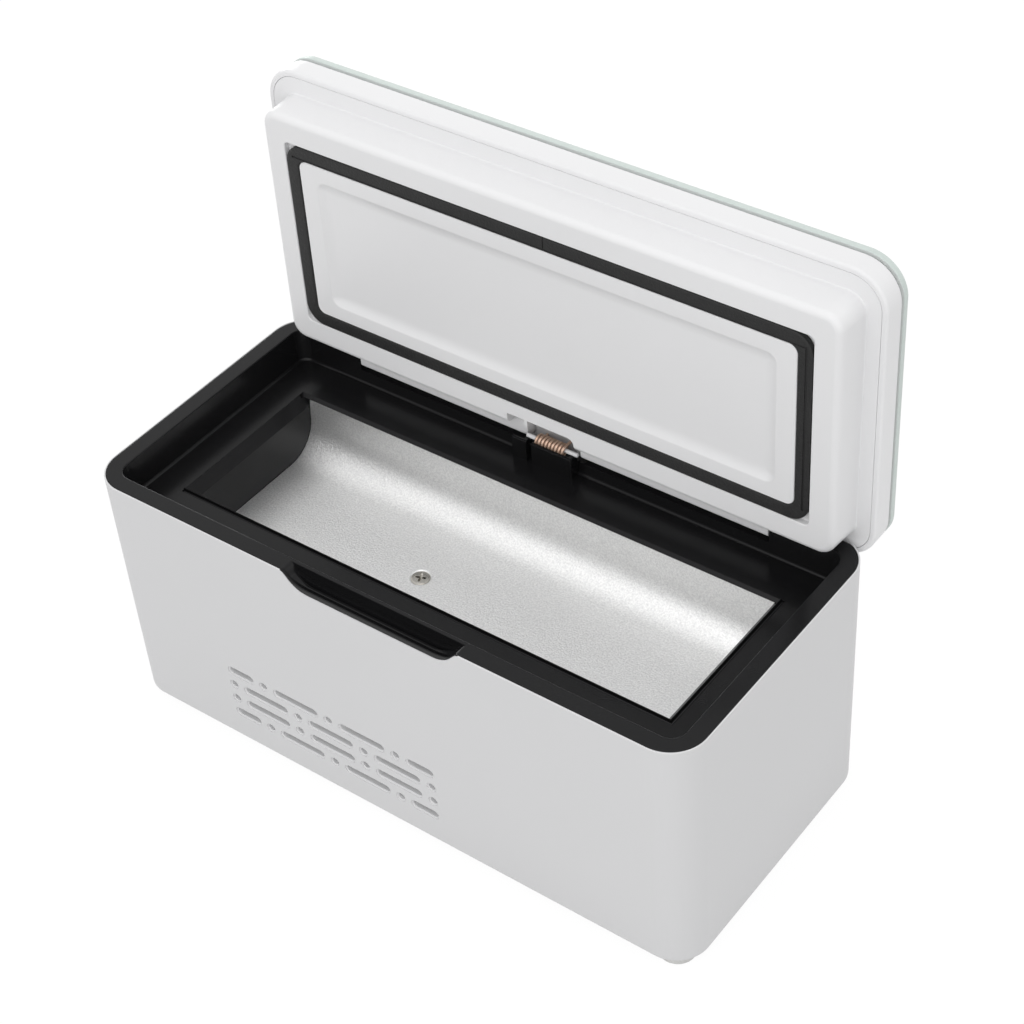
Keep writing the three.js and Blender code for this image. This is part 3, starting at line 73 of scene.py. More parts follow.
# Frame
RIM_WIDTH = 5.7
CAVITY_DEPTH = 10.4
CAVITY_DRAFT = 1.0
CAVITY_CORNER = 4.5
FRAME_WALL = 2.0
LEDGE_Z = RIM_Z - CAVITY_DEPTH
CAVITY_X = HALF_X - RIM_WIDTH
CAVITY_Y = HALF_Y - RIM_WIDTH

# Tray
TRAY_LEFT = -79.6
TRAY_RIGHT = 82.1
TRAY_Y = -0.8
TRAY_HALF = 25.5
TRAY_SHEET = 1.2
TRAY_LEAN = 0.6
TRAY_CURVE = 11.1
TRAY_LIP = 0.95
TRAY_FLOOR = RIM_Z - 28.5
BEAD = 0.65
GROOVE = 0.9
LEFT_BEVEL = 3.1
RIGHT_BEVEL = 1.0
SCREW_X = -16.0
SCREW_Y = -4.9
SCREW_TURN = 20.0

# Vents and socket
VENT_X = -20.02
VENT_DROP = 53.5
VENT_ROW = 5.67
VENT_PITCH = 12.06
VENT_RADIUS = 1.5
VENT_INNER = VENT_RADIUS - 0.35
VENT_EDGE = 0.5
VENT_LONG = 16.4
VENT_SHORT = 9.6
VENT_SHORT_STEP = 8.6
SOCKET_X = -81.44
SOCKET_Z = 16.6
SOCKET_HOLE = 4.15
SOCKET_BARREL = 3.9
SOCKET_BORE = 2.75
SOCKET_PIN = 0.65

# Finger notch
NOTCH_X = 1.35
NOTCH_HALF = 29.2
NOTCH_FLOOR_HALF = 22.6
NOTCH_DEPTH = 5.0
NOTCH_LIP = 1.5
NOTCH_RIDGE = 0.32
HOLLOW_FRONT = -44.3
HOLLOW_BACK = -41.3
HOLLOW_HALF = 29.4
HOLLOW_FRONT_HALF = 21.4

# Hinge
HINGE_Y = HALF_Y - 3.25
HINGE_Z = RIM_Z - 2.77
OPEN_ANGLE = 90.48
HINGE_HALF = 71.0
HINGE_PIN = 1.1
HINGE_PIN_INNER = 69.0
HINGE_PIN_OUTER = 77.0
BAR_GAP = 9.2
BAR_ROOM = 6.4
EAR = 7.0

# Spring
SPRING_Y = 38.5
SPRING_Z = RIM_Z - 3.35
SPRING_HALF = 4.85
SPRING_RADIUS = 1.5
SPRING_WIRE = 0.9
SPRING_TURNS = 8.5
SPRING_TURN_STEPS = 28
SPRING_LEG = 4.6
SADDLE_X = 7.8

# Lid
FLANGE_Z = RIM_Z + 0.8
FLANGE_TOP = FLANGE_Z + 2.0
COVER_X = HALF_X - 0.5
COVER_HALF_Y = HALF_Y + 0.2
COVER_Y = -0.2
COVER_TOP = FLANGE_Z + 6.9
COVER_RIM = 1.7
GLASS_Z = COVER_TOP + 1.0
LID_TOP = GLASS_Z + 0.1 + 1.9
WINDOW_X, WINDOW_Y, WINDOW_RADIUS, WINDOW_MID = 12.0, 5.2, 1.2, -24.0
LID_SCREW_X = 72.0
LID_SCREW_INSET = 4.6
PLUG_X = CAVITY_X - CAVITY_DRAFT - 0.3
PLUG_Y = CAVITY_Y - CAVITY_DRAFT - 0.3
FACE_Z = LEDGE_Z + 0.3
PLUG_CORNER = 5.0
GASKET_X = 85.3
GASKET_Y = 30.4
GASKET_WIDTH = 4.3
GASKET_SEAM = 3.6
PANEL_X = 75.2
PANEL_Y = 21.4
PANEL_MID = 0.15
PANEL_DEPTH = 1.15
PANEL_SLOPE = 4.2
POCKET_LEFT = -12.8
POCKET_RIGHT = 10.2
POCKET_Y = PLUG_Y - 4.0
RIB_LEFT = -6.7
RIB_RIGHT = -5.8


# Shapes

def outline(half_x, half_y, radius, steps=CORNER_STEPS):
    """A rounded rectangle: each corner's centre plus the radius times the cosine and sine of an angle
    that grows by a quarter turn over the corner's steps."""
    angle = (np.arange(4)[:, None] + np.arange(steps + 1)[None, :] / steps) * math.pi / 2
    sign_x = np.array([1, -1, -1, 1])[:, None]
    sign_y = np.array([1, 1, -1, -1])[:, None]
    x = sign_x * (half_x - radius) + radius * np.cos(angle)
    y = sign_y * (half_y - radius) + radius * np.sin(angle)
    return np.stack([x.ravel(), y.ravel()], axis=1)


def skin(rings, joined=False):
    """A closed surface over a grid of (ring, point): quads between neighbouring rings, and each end ring
    as a flat cap, or the last ring joined to the first."""
    rings = np.asarray(rings, float)
    count, around = rings.shape[:2]
    index = np.arange(count * around).reshape(count, around)
    low = index if joined else index[:-1]
    high = np.roll(index, -1, axis=0) if joined else index[1:]
    quads = np.stack([low, np.roll(low, -1, axis=1), np.roll(high, -1, axis=1), high], axis=-1)
    faces = quads.reshape(-1, 4).tolist()
    if not joined:
        faces += [index[0][::-1].tolist(), index[-1].tolist()]
    return rings.reshape(-1, 3), faces


def lift(profile, half_x, half_y, radius, mid_x=0.0, mid_y=0.0, steps=CORNER_STEPS):
    """A rounded rectangle carried up a profile of (height, inset): at each height both halves and the
    corner's radius are smaller by the inset."""
    rings = []
    for z, inset in profile:
        flat = outline(half_x - inset, half_y - inset, max(radius - inset, 0.05), steps)
        rings.append(np.column_stack([flat[:, 0] + mid_x, flat[:, 1] + mid_y, np.full(len(flat), z)]))
    return skin(rings)


def bottom_edge(z, edge, steps, lean=0.0):
    """A quarter round below: inset e(1 - sin a) at height z + e(1 - cos a)."""
    angle = np.linspace(0, math.pi / 2, steps + 1)
    return [(z + edge * (1 - math.cos(a)), lean + edge * (1 - math.sin(a))) for a in angle]


def top_edge(z, edge, steps):
    """A quarter round above: inset e(1 - sin a) at height z - e(1 - cos a), from the side to the top."""
    return [(2 * z - height, inset) for height, inset in reversed(bottom_edge(z, edge, steps))]


def flare(z, edge, steps):
    """A hollow's rim rounded outwards: outset e(1 - cos a) at height z - e(1 - sin a), then straight up."""
    angle = np.linspace(0, math.pi / 2, steps + 1)
    return [(z - edge * (1 - math.sin(a)), -edge * (1 - math.cos(a))) for a in angle] + [(z + OVER, -edge)]


def block(low, high):
    """A plain box between two corners."""
    (x0, y0, z0), (x1, y1, z1) = low, high
    flat = [(x0, y0), (x1, y0), (x1, y1), (x0, y1)]
    return skin([[(x, y, z) for x, y in flat] for z in (z0, z1)])


def along_x(points, low, high):
    """A closed outline of (y, z) carried straight along x."""
    flat = np.asarray(points, float)
    return skin([np.column_stack([np.full(len(flat), x), flat]) for x in (low, high)])


def along_y(points, low, high):
    """A closed outline of (x, z) carried straight along y."""
    flat = np.asarray(points, float)
    return skin([np.column_stack([flat[:, 0], np.full(len(flat), y), flat[:, 1]]) for y in (low, high)])


def turned(profile, centre, axis="z", steps=48):
    """A profile of (height, radius) turned once round an axis through the centre."""
    angle = np.arange(steps) / steps * 2 * math.pi
    rings = []
    for height, radius in profile:
        u, v, w = radius * np.cos(angle), radius * np.sin(angle), np.full(steps, float(height))
        order = {"z": (u, v, w), "x": (w, u, v), "y": (v, w, u)}[axis]
        rings.append(np.column_stack(order) + np.asarray(centre, float))
    return skin(rings)


def span(side, inner, outer):
    """The lower and the higher x of what reaches from one distance to another, right (1) or left (-1)."""
    return sorted((side * inner, side * outer))


def arc(centre, radius, start, end, steps=8):
    """Points on a circle from one angle to another, in degrees."""
    angle = np.radians(np.linspace(start, end, steps + 1))
    return np.column_stack([centre[0] + radius * np.cos(angle), centre[1] + radius * np.sin(angle)])


def curve(start, pull, end, steps=10):
    """A quadratic curve from start to end, drawn towards pull."""
    t = np.linspace(0, 1, steps + 1)[:, None]
    start, pull, end = (np.asarray(point, float) for point in (start, pull, end))
    return (1 - t) ** 2 * start + 2 * t * (1 - t) * pull + t ** 2 * end


def tube(path, radius, sides=14):
    """A round wire along a path: a ring at each point, square to the path, kept untwisted by the x axis."""
    path = np.asarray(path, float)
    along = np.gradient(path, axis=0)
    along /= np.linalg.norm(along, axis=1, keepdims=True)
    side = np.cross(np.array([1.0, 0, 0]), along)
    side /= np.linalg.norm(side, axis=1, keepdims=True)
    up = np.cross(along, side)
    angle = np.arange(sides) / sides * 2 * math.pi
    rings = (path[:, None] + radius * np.cos(angle)[None, :, None] * side[:, None]
             + radius * np.sin(angle)[None, :, None] * up[:, None])
    return skin(rings)


def together(solids):
    """Several separate closed surfaces as one list of points and faces."""
    points, faces, start = [], [], 0
    for part_points, part_faces in solids:
        points.append(part_points)
        faces += [[index + start for index in face] for face in part_faces]
        start += len(part_points)
    return np.concatenate(points), faces


# Meshes

def cleaned(mesh, merge, thin=0.0):
    """The mesh with points nearer than one distance merged, edges shorter than another dissolved, and its
    faces turned outwards."""
    tidy = bmesh.new()
    tidy.from_mesh(mesh)
    bmesh.ops.remove_doubles(tidy, verts=tidy.verts, dist=merge)
    if thin:
        bmesh.ops.dissolve_degenerate(tidy, edges=tidy.edges, dist=thin)
    bmesh.ops.recalc_face_normals(tidy, faces=tidy.faces)
    tidy.to_mesh(mesh)
    tidy.free()
    return mesh


def mesh_of(solid):
    """A mesh in metres from points in millimetres and their faces."""
    points, faces = solid
    mesh = bpy.data.meshes.new("solid")
    mesh.from_pydata((np.asarray(points, float) * MM).tolist(), [], faces)
    mesh.update()
    return cleaned(mesh, 1e-7)


def cuts(*solids):
    return [("DIFFERENCE", solid) for solid in solids]


def joins(*solids):
    return [("UNION", solid) for solid in solids]


def shaped(solid, steps):
    """The mesh of a solid after a list of cuts and joins, done one after another."""
    scene = bpy.context.scene
    base = bpy.data.objects.new("base", mesh_of(solid))
    scene.collection.objects.link(base)
    tools = []
    for operation, other in steps:
        tool = bpy.data.objects.new("tool", mesh_of(other))
        scene.collection.objects.link(tool)
        tools.append(tool)
        step = base.modifiers.new(operation, "BOOLEAN")
        step.operation = operation
        step.solver = "EXACT"
        step.object = tool
    bpy.context.view_layer.update()
    result = bpy.data.meshes.new_from_object(base.evaluated_get(bpy.context.evaluated_depsgraph_get()))
    for item in [base, *tools]:
        old = item.data
        bpy.data.objects.remove(item)
        bpy.data.meshes.remove(old)
    return cleaned(result, 2e-6, 1e-6)


def shaped_solid(solid, steps):
    """The points and faces of a shaped solid, back in millimetres, for use in another step."""
    mesh = shaped(solid, steps)
    points = np.empty(len(mesh.vertices) * 3)
    mesh.vertices.foreach_get("co", points)
    faces = [list(polygon.vertices) for polygon in mesh.polygons]
    bpy.data.meshes.remove(mesh)
    return points.reshape(-1, 3) / MM, faces


def lid_turn():
    """The turn about the hinge that takes the shut lid to where the open lid stands."""
    pivot = Vector((0, HINGE_Y * MM, HINGE_Z * MM))
    turn = Matrix.Rotation(math.radians(-OPEN_ANGLE), 4, "X")
    return Matrix.Translation(pivot) @ turn @ Matrix.Translation(-pivot)


def opened(mesh):
    """A mesh drawn on the shut lid, turned to where the open lid has it."""
    mesh.transform(lid_turn())
    return mesh


def place(node, mesh, material, body, sharp=30):
    """Puts a finished mesh into the scene for the frame's node of that name, smooth where its faces meet at
    less than the given angle in degrees."""
    mesh.name = node + "_look"
    mesh.transform(Matrix.Translation((0, CASE_Y * MM, 0)))
    mesh.shade_smooth()
    mesh.set_sharp_from_angle(angle=math.radians(sharp))
    mesh.materials.clear()
    mesh.materials.append(material)
    piece = bpy.data.objects.new(node + "_look", mesh)
    bpy.context.scene.collection.objects.link(piece)
    weigh = piece.modifiers.new("even_normals", "WEIGHTED_NORMAL")
    weigh.keep_sharp = True
    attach(piece, body)
    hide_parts(node)


# Materials

class Link:
    """An output socket on which arithmetic adds Math nodes."""

    def __init__(self, recipe, socket):
        self.recipe = recipe
        self.socket = socket

    def math(self, operation, first, second):
        return self.recipe.node("ShaderNodeMath", {"operation": operation}, {0: first, 1: second})

    def __add__(self, other):
        return self.math("ADD", self, other)

    __radd__ = __add__

    def __mul__(self, other):
        return self.math("MULTIPLY", self, other)

    __rmul__ = __mul__

    def __sub__(self, other):
        return self.math("SUBTRACT", self, other)

    def __rsub__(self, other):
        return self.math("SUBTRACT", other, self)

    def __pow__(self, other):
        return self.math("POWER", self, other)


def set_stops(ramp, stops):
    """Gives a colour ramp its stops, each a position and a colour."""
    while len(ramp.elements) < len(stops):
        ramp.elements.new(0.5)
    for element, (position, colour) in zip(ramp.elements, stops):
        element.position = position
        element.color = (*colour, 1)


class Recipe:
    """The nodes of a new material, or of the world that is handed in."""

    def __init__(self, name, world=None):
        self.owner = world or bpy.data.materials.new(name)
        self.owner.use_nodes = True
        self.tree = self.owner.node_tree
        self.tree.nodes.clear()

    def node(self, kind, settings=None, inputs=None, output=0):
        """A node of a type with its settings, then the values or links of its sockets; gives an output."""
        made = self.tree.nodes.new(kind)
        for key, value in (settings or {}).items():
            if key == "stops":
                set_stops(made.color_ramp, value)
            else:
                setattr(made, key, value)
        for key, value in (inputs or {}).items():
            if isinstance(value, Link):
                self.tree.links.new(value.socket, made.inputs[key])
            else:
                made.inputs[key].default_value = value
        return Link(self, made.outputs[output]) if made.outputs else made

    def coordinates(self):
        return self.node("ShaderNodeTexCoord", output="Object")

    def grain(self, scale, detail=2.0, roughness=0.5, where=None):
        """Noise from 0 to 1, with so many waves to a metre."""
        where = where or self.coordinates()
        inputs = {"Vector": where, "Scale": scale, "Detail": detail, "Roughness": roughness}
        return self.node("ShaderNodeTexNoise", {}, inputs)

    def blend(self, share, first, second):
        """A colour between two, by a share from 0 to 1."""
        inputs = {"Factor": share, "A": first, "B": second}
        mix = self.tree.nodes.new("ShaderNodeMix")
        mix.data_type = "RGBA"
        for key, value in inputs.items():
            socket = [s for s in mix.inputs if s.name == key and s.enabled][0]
            if isinstance(value, Link):
                self.tree.links.new(value.socket, socket)
            else:
                socket.default_value = value
        return Link(self, [s for s in mix.outputs if s.enabled][0])

    def bump(self, height, distance, strength):
        """A relief in the normal: the height's 0 to 1 stands for the distance in metres."""
        inputs = {"Height": height, "Distance": distance, "Strength": strength}
        return self.node("ShaderNodeBump", {}, inputs)

    def surface(self, **values):
        """A Principled surface: underscores stand for the spaces in its sockets' names."""
        inputs = {key.replace("_", " "): value for key, value in values.items()}
        shader = self.node("ShaderNodeBsdfPrincipled", {}, inputs)
        self.node("ShaderNodeOutputMaterial", {}, {"Surface": shader})
        return self.owner


def rgb(red, green, blue):
    """A screen colour of 0 to 255 as the linear colour that the shader takes."""
    shares = np.array([red, green, blue]) / 255
    linear = np.where(shares <= 0.04045, shares / 12.92, ((shares + 0.055) / 1.055) ** 2.4)
    return (*linear.tolist(), 1.0)


def shade(colour, share):
    """A colour times a share, and no brighter than white."""
    return (*(min(channel * share, 1) for channel in colour[:3]), 1)


def white_plastic(name, colour, roughness=0.42):
    """Moulded white plastic: a faint cloudiness in the colour and a fine even grain in the relief."""
    recipe = Recipe(name)
    cloud = recipe.grain(18.0, 3.0)
    tone = recipe.blend(cloud, shade(colour, 0.985), shade(colour, 1.015))
    grain = recipe.grain(2600.0, 2.0, 0.6)
    relief = recipe.bump(grain, 0.00001, 0.25)
    return recipe.surface(Base_Color=tone, Roughness=grain * 0.08 + (roughness - 0.04), Normal=relief,
                          IOR=1.46)


def black_plastic(name, colour, roughness):
    """Moulded black plastic with a satin shine: fine grain and a few cloudy patches in the roughness."""
    recipe = Recipe(name)
    grain = recipe.grain(2200.0, 2.0, 0.6)
    cloud = recipe.grain(40.0, 4.0)
    tone = recipe.blend(cloud, shade(colour, 0.9), shade(colour, 1.1))
    relief = recipe.bump(grain, 0.00001, 0.3)
    return recipe.surface(Base_Color=tone, Roughness=grain * 0.06 + cloud * 0.06 + (roughness - 0.06),
                          Normal=relief, IOR=1.29)


def frosted_aluminium(name):
    """Sand-blasted and anodised sheet: tiny pits a few tenths of a millimetre across that catch the light."""
    recipe = Recipe(name)
    pits = recipe.grain(1900.0, 3.0, 0.7)
    coarse = recipe.grain(900.0, 2.0, 0.6)
    stops = {"stops": [(0.35, (0.0, 0.0, 0.0)), (0.68, (1.0, 1.0, 1.0))]}
    sparkle = recipe.node("ShaderNodeValToRGB", stops, {"Fac": pits})
    tone = recipe.blend(sparkle, rgb(217, 217, 217), rgb(245, 245, 244))
    relief = recipe.bump(pits * 0.8 + coarse * 0.2, 0.0002, 1.0)
    return recipe.surface(Base_Color=tone, Metallic=0.85, Roughness=pits * 0.1 + 0.27, Normal=relief)


def brushed_metal(name, colour, roughness):
    """Metal with fine drawn lines along x and a little cloudiness."""
    recipe = Recipe(name)
    scale = {"Vector": recipe.coordinates(), "Scale": (60.0, 2500.0, 2500.0)}
    lines = recipe.grain(1.0, 2.0, 0.6, recipe.node("ShaderNodeMapping", {}, scale))
    tone = recipe.blend(lines, shade(colour, 0.86), colour)
    return recipe.surface(Base_Color=tone, Metallic=1.0, Roughness=lines * 0.14 + (roughness - 0.07),
                          Normal=recipe.bump(lines, 0.00001, 0.3))


def rubber(name, colour, roughness):
    """Soft rubber with a fine uneven skin and dusty patches."""
    recipe = Recipe(name)
    grain = recipe.grain(1300.0, 3.0, 0.65)
    dust = recipe.grain(90.0, 4.0, 0.6)
    tone = recipe.blend(dust, shade(colour, 0.8), shade(colour, 1.3))
    return recipe.surface(Base_Color=tone, Roughness=grain * 0.15 + (roughness - 0.08),
                          Normal=recipe.bump(grain, 0.0003, 0.8), IOR=1.45)


def foam(name):
    """Closed-cell foam: rounded cells about a millimetre across."""
    recipe = Recipe(name)
    cells = recipe.node("ShaderNodeTexVoronoi", {}, {"Vector": recipe.coordinates(), "Scale": 900.0})
    tone = recipe.blend(cells, rgb(238, 236, 228), rgb(214, 211, 200))
    return recipe.surface(Base_Color=tone, Roughness=0.9, Normal=recipe.bump(cells, 0.0001, 0.5))


def circuit_board(name):
    """Green solder mask with faint straight tracks under it."""
    recipe = Recipe(name)
    scale = {"Vector": recipe.coordinates(), "Scale": (700.0, 90.0, 1.0)}
    stretched = recipe.node("ShaderNodeMapping", {}, scale)
    tracks = recipe.node("ShaderNodeTexVoronoi", {"distance": "CHEBYCHEV"},
                         {"Vector": stretched, "Scale": 1.0})
    tone = recipe.blend(tracks, rgb(24, 84, 50), rgb(42, 118, 72))
    return recipe.surface(Base_Color=tone, Roughness=0.35, Normal=recipe.bump(tracks, 0.00002, 0.4))


def ceramic(name):
    """White unglazed ceramic with a fine speckle."""
    recipe = Recipe(name)
    speckle = recipe.grain(1800.0, 2.0)
    tone = recipe.blend(speckle, rgb(228, 226, 220), rgb(246, 245, 241))
    return recipe.surface(Base_Color=tone, Roughness=0.6, Normal=recipe.bump(speckle, 0.00001, 0.3))


def shrink_wrap(name):
    """Thin glossy wrap with slight ripples round the cell."""
    recipe = Recipe(name)
    ripple = recipe.grain(160.0, 3.0)
    tone = recipe.blend(ripple, rgb(36, 88, 140), rgb(50, 110, 168))
    return recipe.surface(Base_Color=tone, Roughness=0.3, Normal=recipe.bump(ripple, 0.0001, 0.3))


def painted_glass(name, middle):
    """The glass as one satin surface: white, and dark in a window over the display. A point lies in the
    window where its way past the window's inner rectangle, in x and z, is shorter than the corners'
    radius."""
    recipe = Recipe(name)
    ways = []
    for axis, at, half in (("X", 0.0, WINDOW_X), ("Z", middle, WINDOW_Y)):
        along = recipe.node("ShaderNodeSeparateXYZ", {}, {"Vector": recipe.coordinates()}, axis)
        off = along - at
        past = off.math("ABSOLUTE", off, 0.0) - (half - WINDOW_RADIUS) * MM
        ways.append(past.math("MAXIMUM", past, 0.0))
    way = (ways[0] * ways[0] + ways[1] * ways[1]) ** 0.5
    window = way.math("LESS_THAN", way, WINDOW_RADIUS * MM)
    smudge = recipe.grain(25.0, 4.0)
    white = recipe.blend(smudge, rgb(204, 208, 206), rgb(209, 213, 211))
    tone = recipe.blend(window, white, rgb(15, 17, 19))
    return recipe.surface(Base_Color=tone, Roughness=smudge * 0.04 + 0.26, IOR=1.12)


def ground_edge(name):
    """The ground edge of plate glass: matt grey green with a fine uneven bloom."""
    recipe = Recipe(name)
    bloom = recipe.grain(700.0, 3.0)
    tone = recipe.blend(bloom, rgb(194, 204, 200), rgb(208, 217, 213))
    return recipe.surface(Base_Color=tone, Roughness=0.4, Normal=recipe.bump(bloom, 0.00002, 0.3))


def dark_film(name):
    """Smoked display film with a faint cloud in its gloss."""
    recipe = Recipe(name)
    cloud = recipe.grain(60.0, 2.0)
    tone = recipe.blend(cloud, rgb(14, 17, 20), rgb(24, 28, 32))
    return recipe.surface(Base_Color=tone, Roughness=cloud * 0.05 + 0.08, Coat_Weight=0.6)


def spring_wire(name):
    """Copper-coloured wire, darker and duller in patches."""
    recipe = Recipe(name)
    patches = recipe.grain(500.0, 3.0)
    tone = recipe.blend(patches, rgb(196, 162, 140), rgb(228, 200, 180))
    return recipe.surface(Base_Color=tone, Metallic=0.7, Roughness=patches * 0.2 + 0.35,
                          Normal=recipe.bump(patches, 0.00002, 0.3))


SHELL_WHITE = white_plastic("shell_white", rgb(213, 213, 214))
LID_WHITE = white_plastic("lid_white", rgb(231, 231, 232), 0.38)
FRAME_BLACK = black_plastic("frame_black", rgb(21, 21, 22), 0.21)
PART_BLACK = black_plastic("part_black", rgb(30, 30, 31), 0.45)
TRAY_METAL = frosted_aluminium("tray_aluminium")
BLOCK_METAL = brushed_metal("machined_aluminium", rgb(214, 215, 218), 0.35)
STEEL = brushed_metal("screw_steel", rgb(186, 183, 176), 0.22)
MAGNET = brushed_metal("plated_magnet", rgb(186, 188, 192), 0.2)
GASKET_RUBBER = rubber("gasket_rubber", rgb(30, 30, 30), 0.6)
FOOT_RUBBER = rubber("foot_rubber", rgb(206, 206, 204), 0.6)
FOAM = foam("insulating_foam")
BOARD = circuit_board("board_green")
CERAMIC = ceramic("cooler_ceramic")
WRAP = shrink_wrap("cell_wrap")
window_middle = lid_turn() @ Vector((0, WINDOW_MID * MM, LID_TOP * MM))
GLASS = painted_glass("plate_glass", window_middle.z)
GLASS_EDGE = ground_edge("ground_glass_edge")
FILM = dark_film("display_film")
COPPER = spring_wire("spring_copper")


# Housing

def stadium(x, z, length, radius, steps=10):
    """A slot's outline in (x, z): two half circles joined by straight sides; a dot has no straight side."""
    reach = max(length / 2 - VENT_RADIUS, 0.0)
    right = arc((x + reach, z), radius, -90, 90, steps)
    left = arc((x - reach, z), radius, 90, 270, steps)
    if reach == 0.0:
        return np.concatenate([right[:-1], left[:-1]])
    return np.concatenate([right, left])


def vent(x, z, length):
    """A slot through the wall with a rounded outer rim, narrower inside."""
    front = -HALF_Y + TAPER * (RIM_Z - z) / (RIM_Z - FOOT_Z)
    levels = [(front - OVER, VENT_EDGE)]
    levels += [(front + VENT_EDGE * math.sin(a), VENT_EDGE * math.cos(a))
               for a in np.linspace(0, math.pi / 2, 6)]
    levels += [(front + WALL * 0.7, -0.1), (front + WALL + OVER, -0.15)]
    rings = []
    for y, grow in levels:
        flat = stadium(x, z, length, VENT_INNER + grow)
        rings.append(np.column_stack([flat[:, 0], np.full(len(flat), y), flat[:, 1]]))
    return skin(rings)


def vents():
    """Four rows of dots and slots: the outer rows have three dots and four slots, the inner rows four
    dots and three slots, all on one pitch."""
    solids = []
    for row in range(4):
        z = RIM_Z - VENT_DROP - row * VENT_ROW
        outer = row in (0, 3)
        dots, slots = ((-2, 0, 2), (-1, 1)) if outer else ((-3, -1, 1, 3), (-2, 0, 2))
        solids += [vent(VENT_X + pitch * VENT_PITCH, z, 0.0) for pitch in dots]
        solids += [vent(VENT_X + pitch * VENT_PITCH, z, VENT_LONG) for pitch in slots]
        if outer:
            end = 2 * VENT_PITCH + VENT_SHORT_STEP
            solids += [vent(VENT_X + side * end, z, VENT_SHORT) for side in (-1, 1)]
    return together(solids)


def notch_outline(inset, rise=0.0):
    """The finger notch in (x, z): a soft corner at the rim, a slope and a wide curve into the floor."""
    half = NOTCH_HALF - inset
    floor_half = NOTCH_FLOOR_HALF - inset
    floor = RIM_Z - NOTCH_DEPTH + inset + rise
    foot_x = floor_half + (half - floor_half) * 0.36
    side = np.concatenate([
        curve((floor_half - 1.5, floor), (foot_x, floor), (half - 1.6, RIM_Z - 1.9), 12),
        curve((half - 0.9, RIM_Z - 1.1), (half, RIM_Z), (half + 0.9, RIM_Z), 5),
        [(half + 0.9, RIM_Z + OVER)],
    ])
    left = side[::-1] * np.array([-1.0, 1.0])
    return np.concatenate([left, side]) + np.array([NOTCH_X, 0.0])


def notch_hollow():
    """What the frame lacks in the notch: the space over its lip, a fine groove along the lip, and behind
    the lip a hollow with a steep back that runs out to the rim at both ends."""
    front = -HALF_Y - OVER
    over_lip = along_y(notch_outline(0.4, NOTCH_LIP - 0.4), front, HOLLOW_FRONT - NOTCH_RIDGE)
    behind = along_y(notch_outline(0.4, NOTCH_LIP - 0.4 + NOTCH_RIDGE), front, HOLLOW_BACK)
    groove = along_y(notch_outline(0.15, NOTCH_LIP - 0.45), -HALF_Y + 0.4, -HALF_Y + 0.95)
    edge, bulge = 0.6, 0.25
    levels = [(-NOTCH_DEPTH, -1.9), (-edge, -bulge)]
    levels += [(-edge * (1 - math.sin(a)), bulge * (1 - 2 * math.cos(a)))
               for a in np.linspace(0.3, math.pi / 2, 5)]
    levels += [(OVER, bulge)]
    ends = [(-HOLLOW_FRONT_HALF, HOLLOW_FRONT), (HOLLOW_FRONT_HALF, HOLLOW_FRONT)]
    rings = []
    for z, back in levels:
        flat = [(-HOLLOW_HALF, HOLLOW_BACK + back), *ends, (HOLLOW_HALF, HOLLOW_BACK + back)]
        rings.append([(NOTCH_X + x, y, RIM_Z + z) for x, y in flat])
    within = along_y(notch_outline(0.4, NOTCH_LIP - 1.2), front, 0)
    hollow = shaped_solid(skin(rings), [("INTERSECT", within)])
    return [over_lip, behind, groove, hollow]


def rear_round():
    """What the turning lid needs free: the block above and behind a quarter round about the hinge."""
    reach = HALF_X + OVER
    rounded = arc((HINGE_Y, HINGE_Z), HALF_Y - HINGE_Y, 0, 90, 16)
    corner = [(HINGE_Y, RIM_Z + OVER), (HALF_Y + OVER, RIM_Z + OVER), (HALF_Y + OVER, HINGE_Z)]
    return along_x(np.concatenate([rounded, corner]), -reach, reach)


def bar_recess(side):
    """The room for a hinge bar in the rear wall."""
    low, high = span(side, BAR_GAP - 0.3, HINGE_HALF)
    return block((low, CAVITY_Y - RIM_WIDTH / 2, RIM_Z - BAR_ROOM), (high, HALF_Y + OVER, RIM_Z + OVER))


def ear_pocket(side):
    """The room in the shell for the ear that carries a hinge pin."""
    low, high = span(side, HINGE_HALF - OVER, HINGE_HALF + EAR + 0.3)
    return block((low, HINGE_Y, RIM_Z - 5.8), (high, HINGE_Y + 1.9, RIM_Z + OVER))


def hinge_ear(side):
    low, high = span(side, HINGE_HALF + 0.3, HINGE_HALF + EAR)
    return block((low, CAVITY_Y + 0.5, RIM_Z - 5.5), (high, HINGE_Y + 1.6, RIM_Z))


def hinge_bore(side):
    """The bore for a hinge pin, through the ear and into the end of the bar's room."""
    low, high = span(side, HINGE_PIN_INNER, HINGE_PIN_OUTER)
    return turned([(low, HINGE_PIN), (high, HINGE_PIN)], (0, HINGE_Y, HINGE_Z), "x", 24)


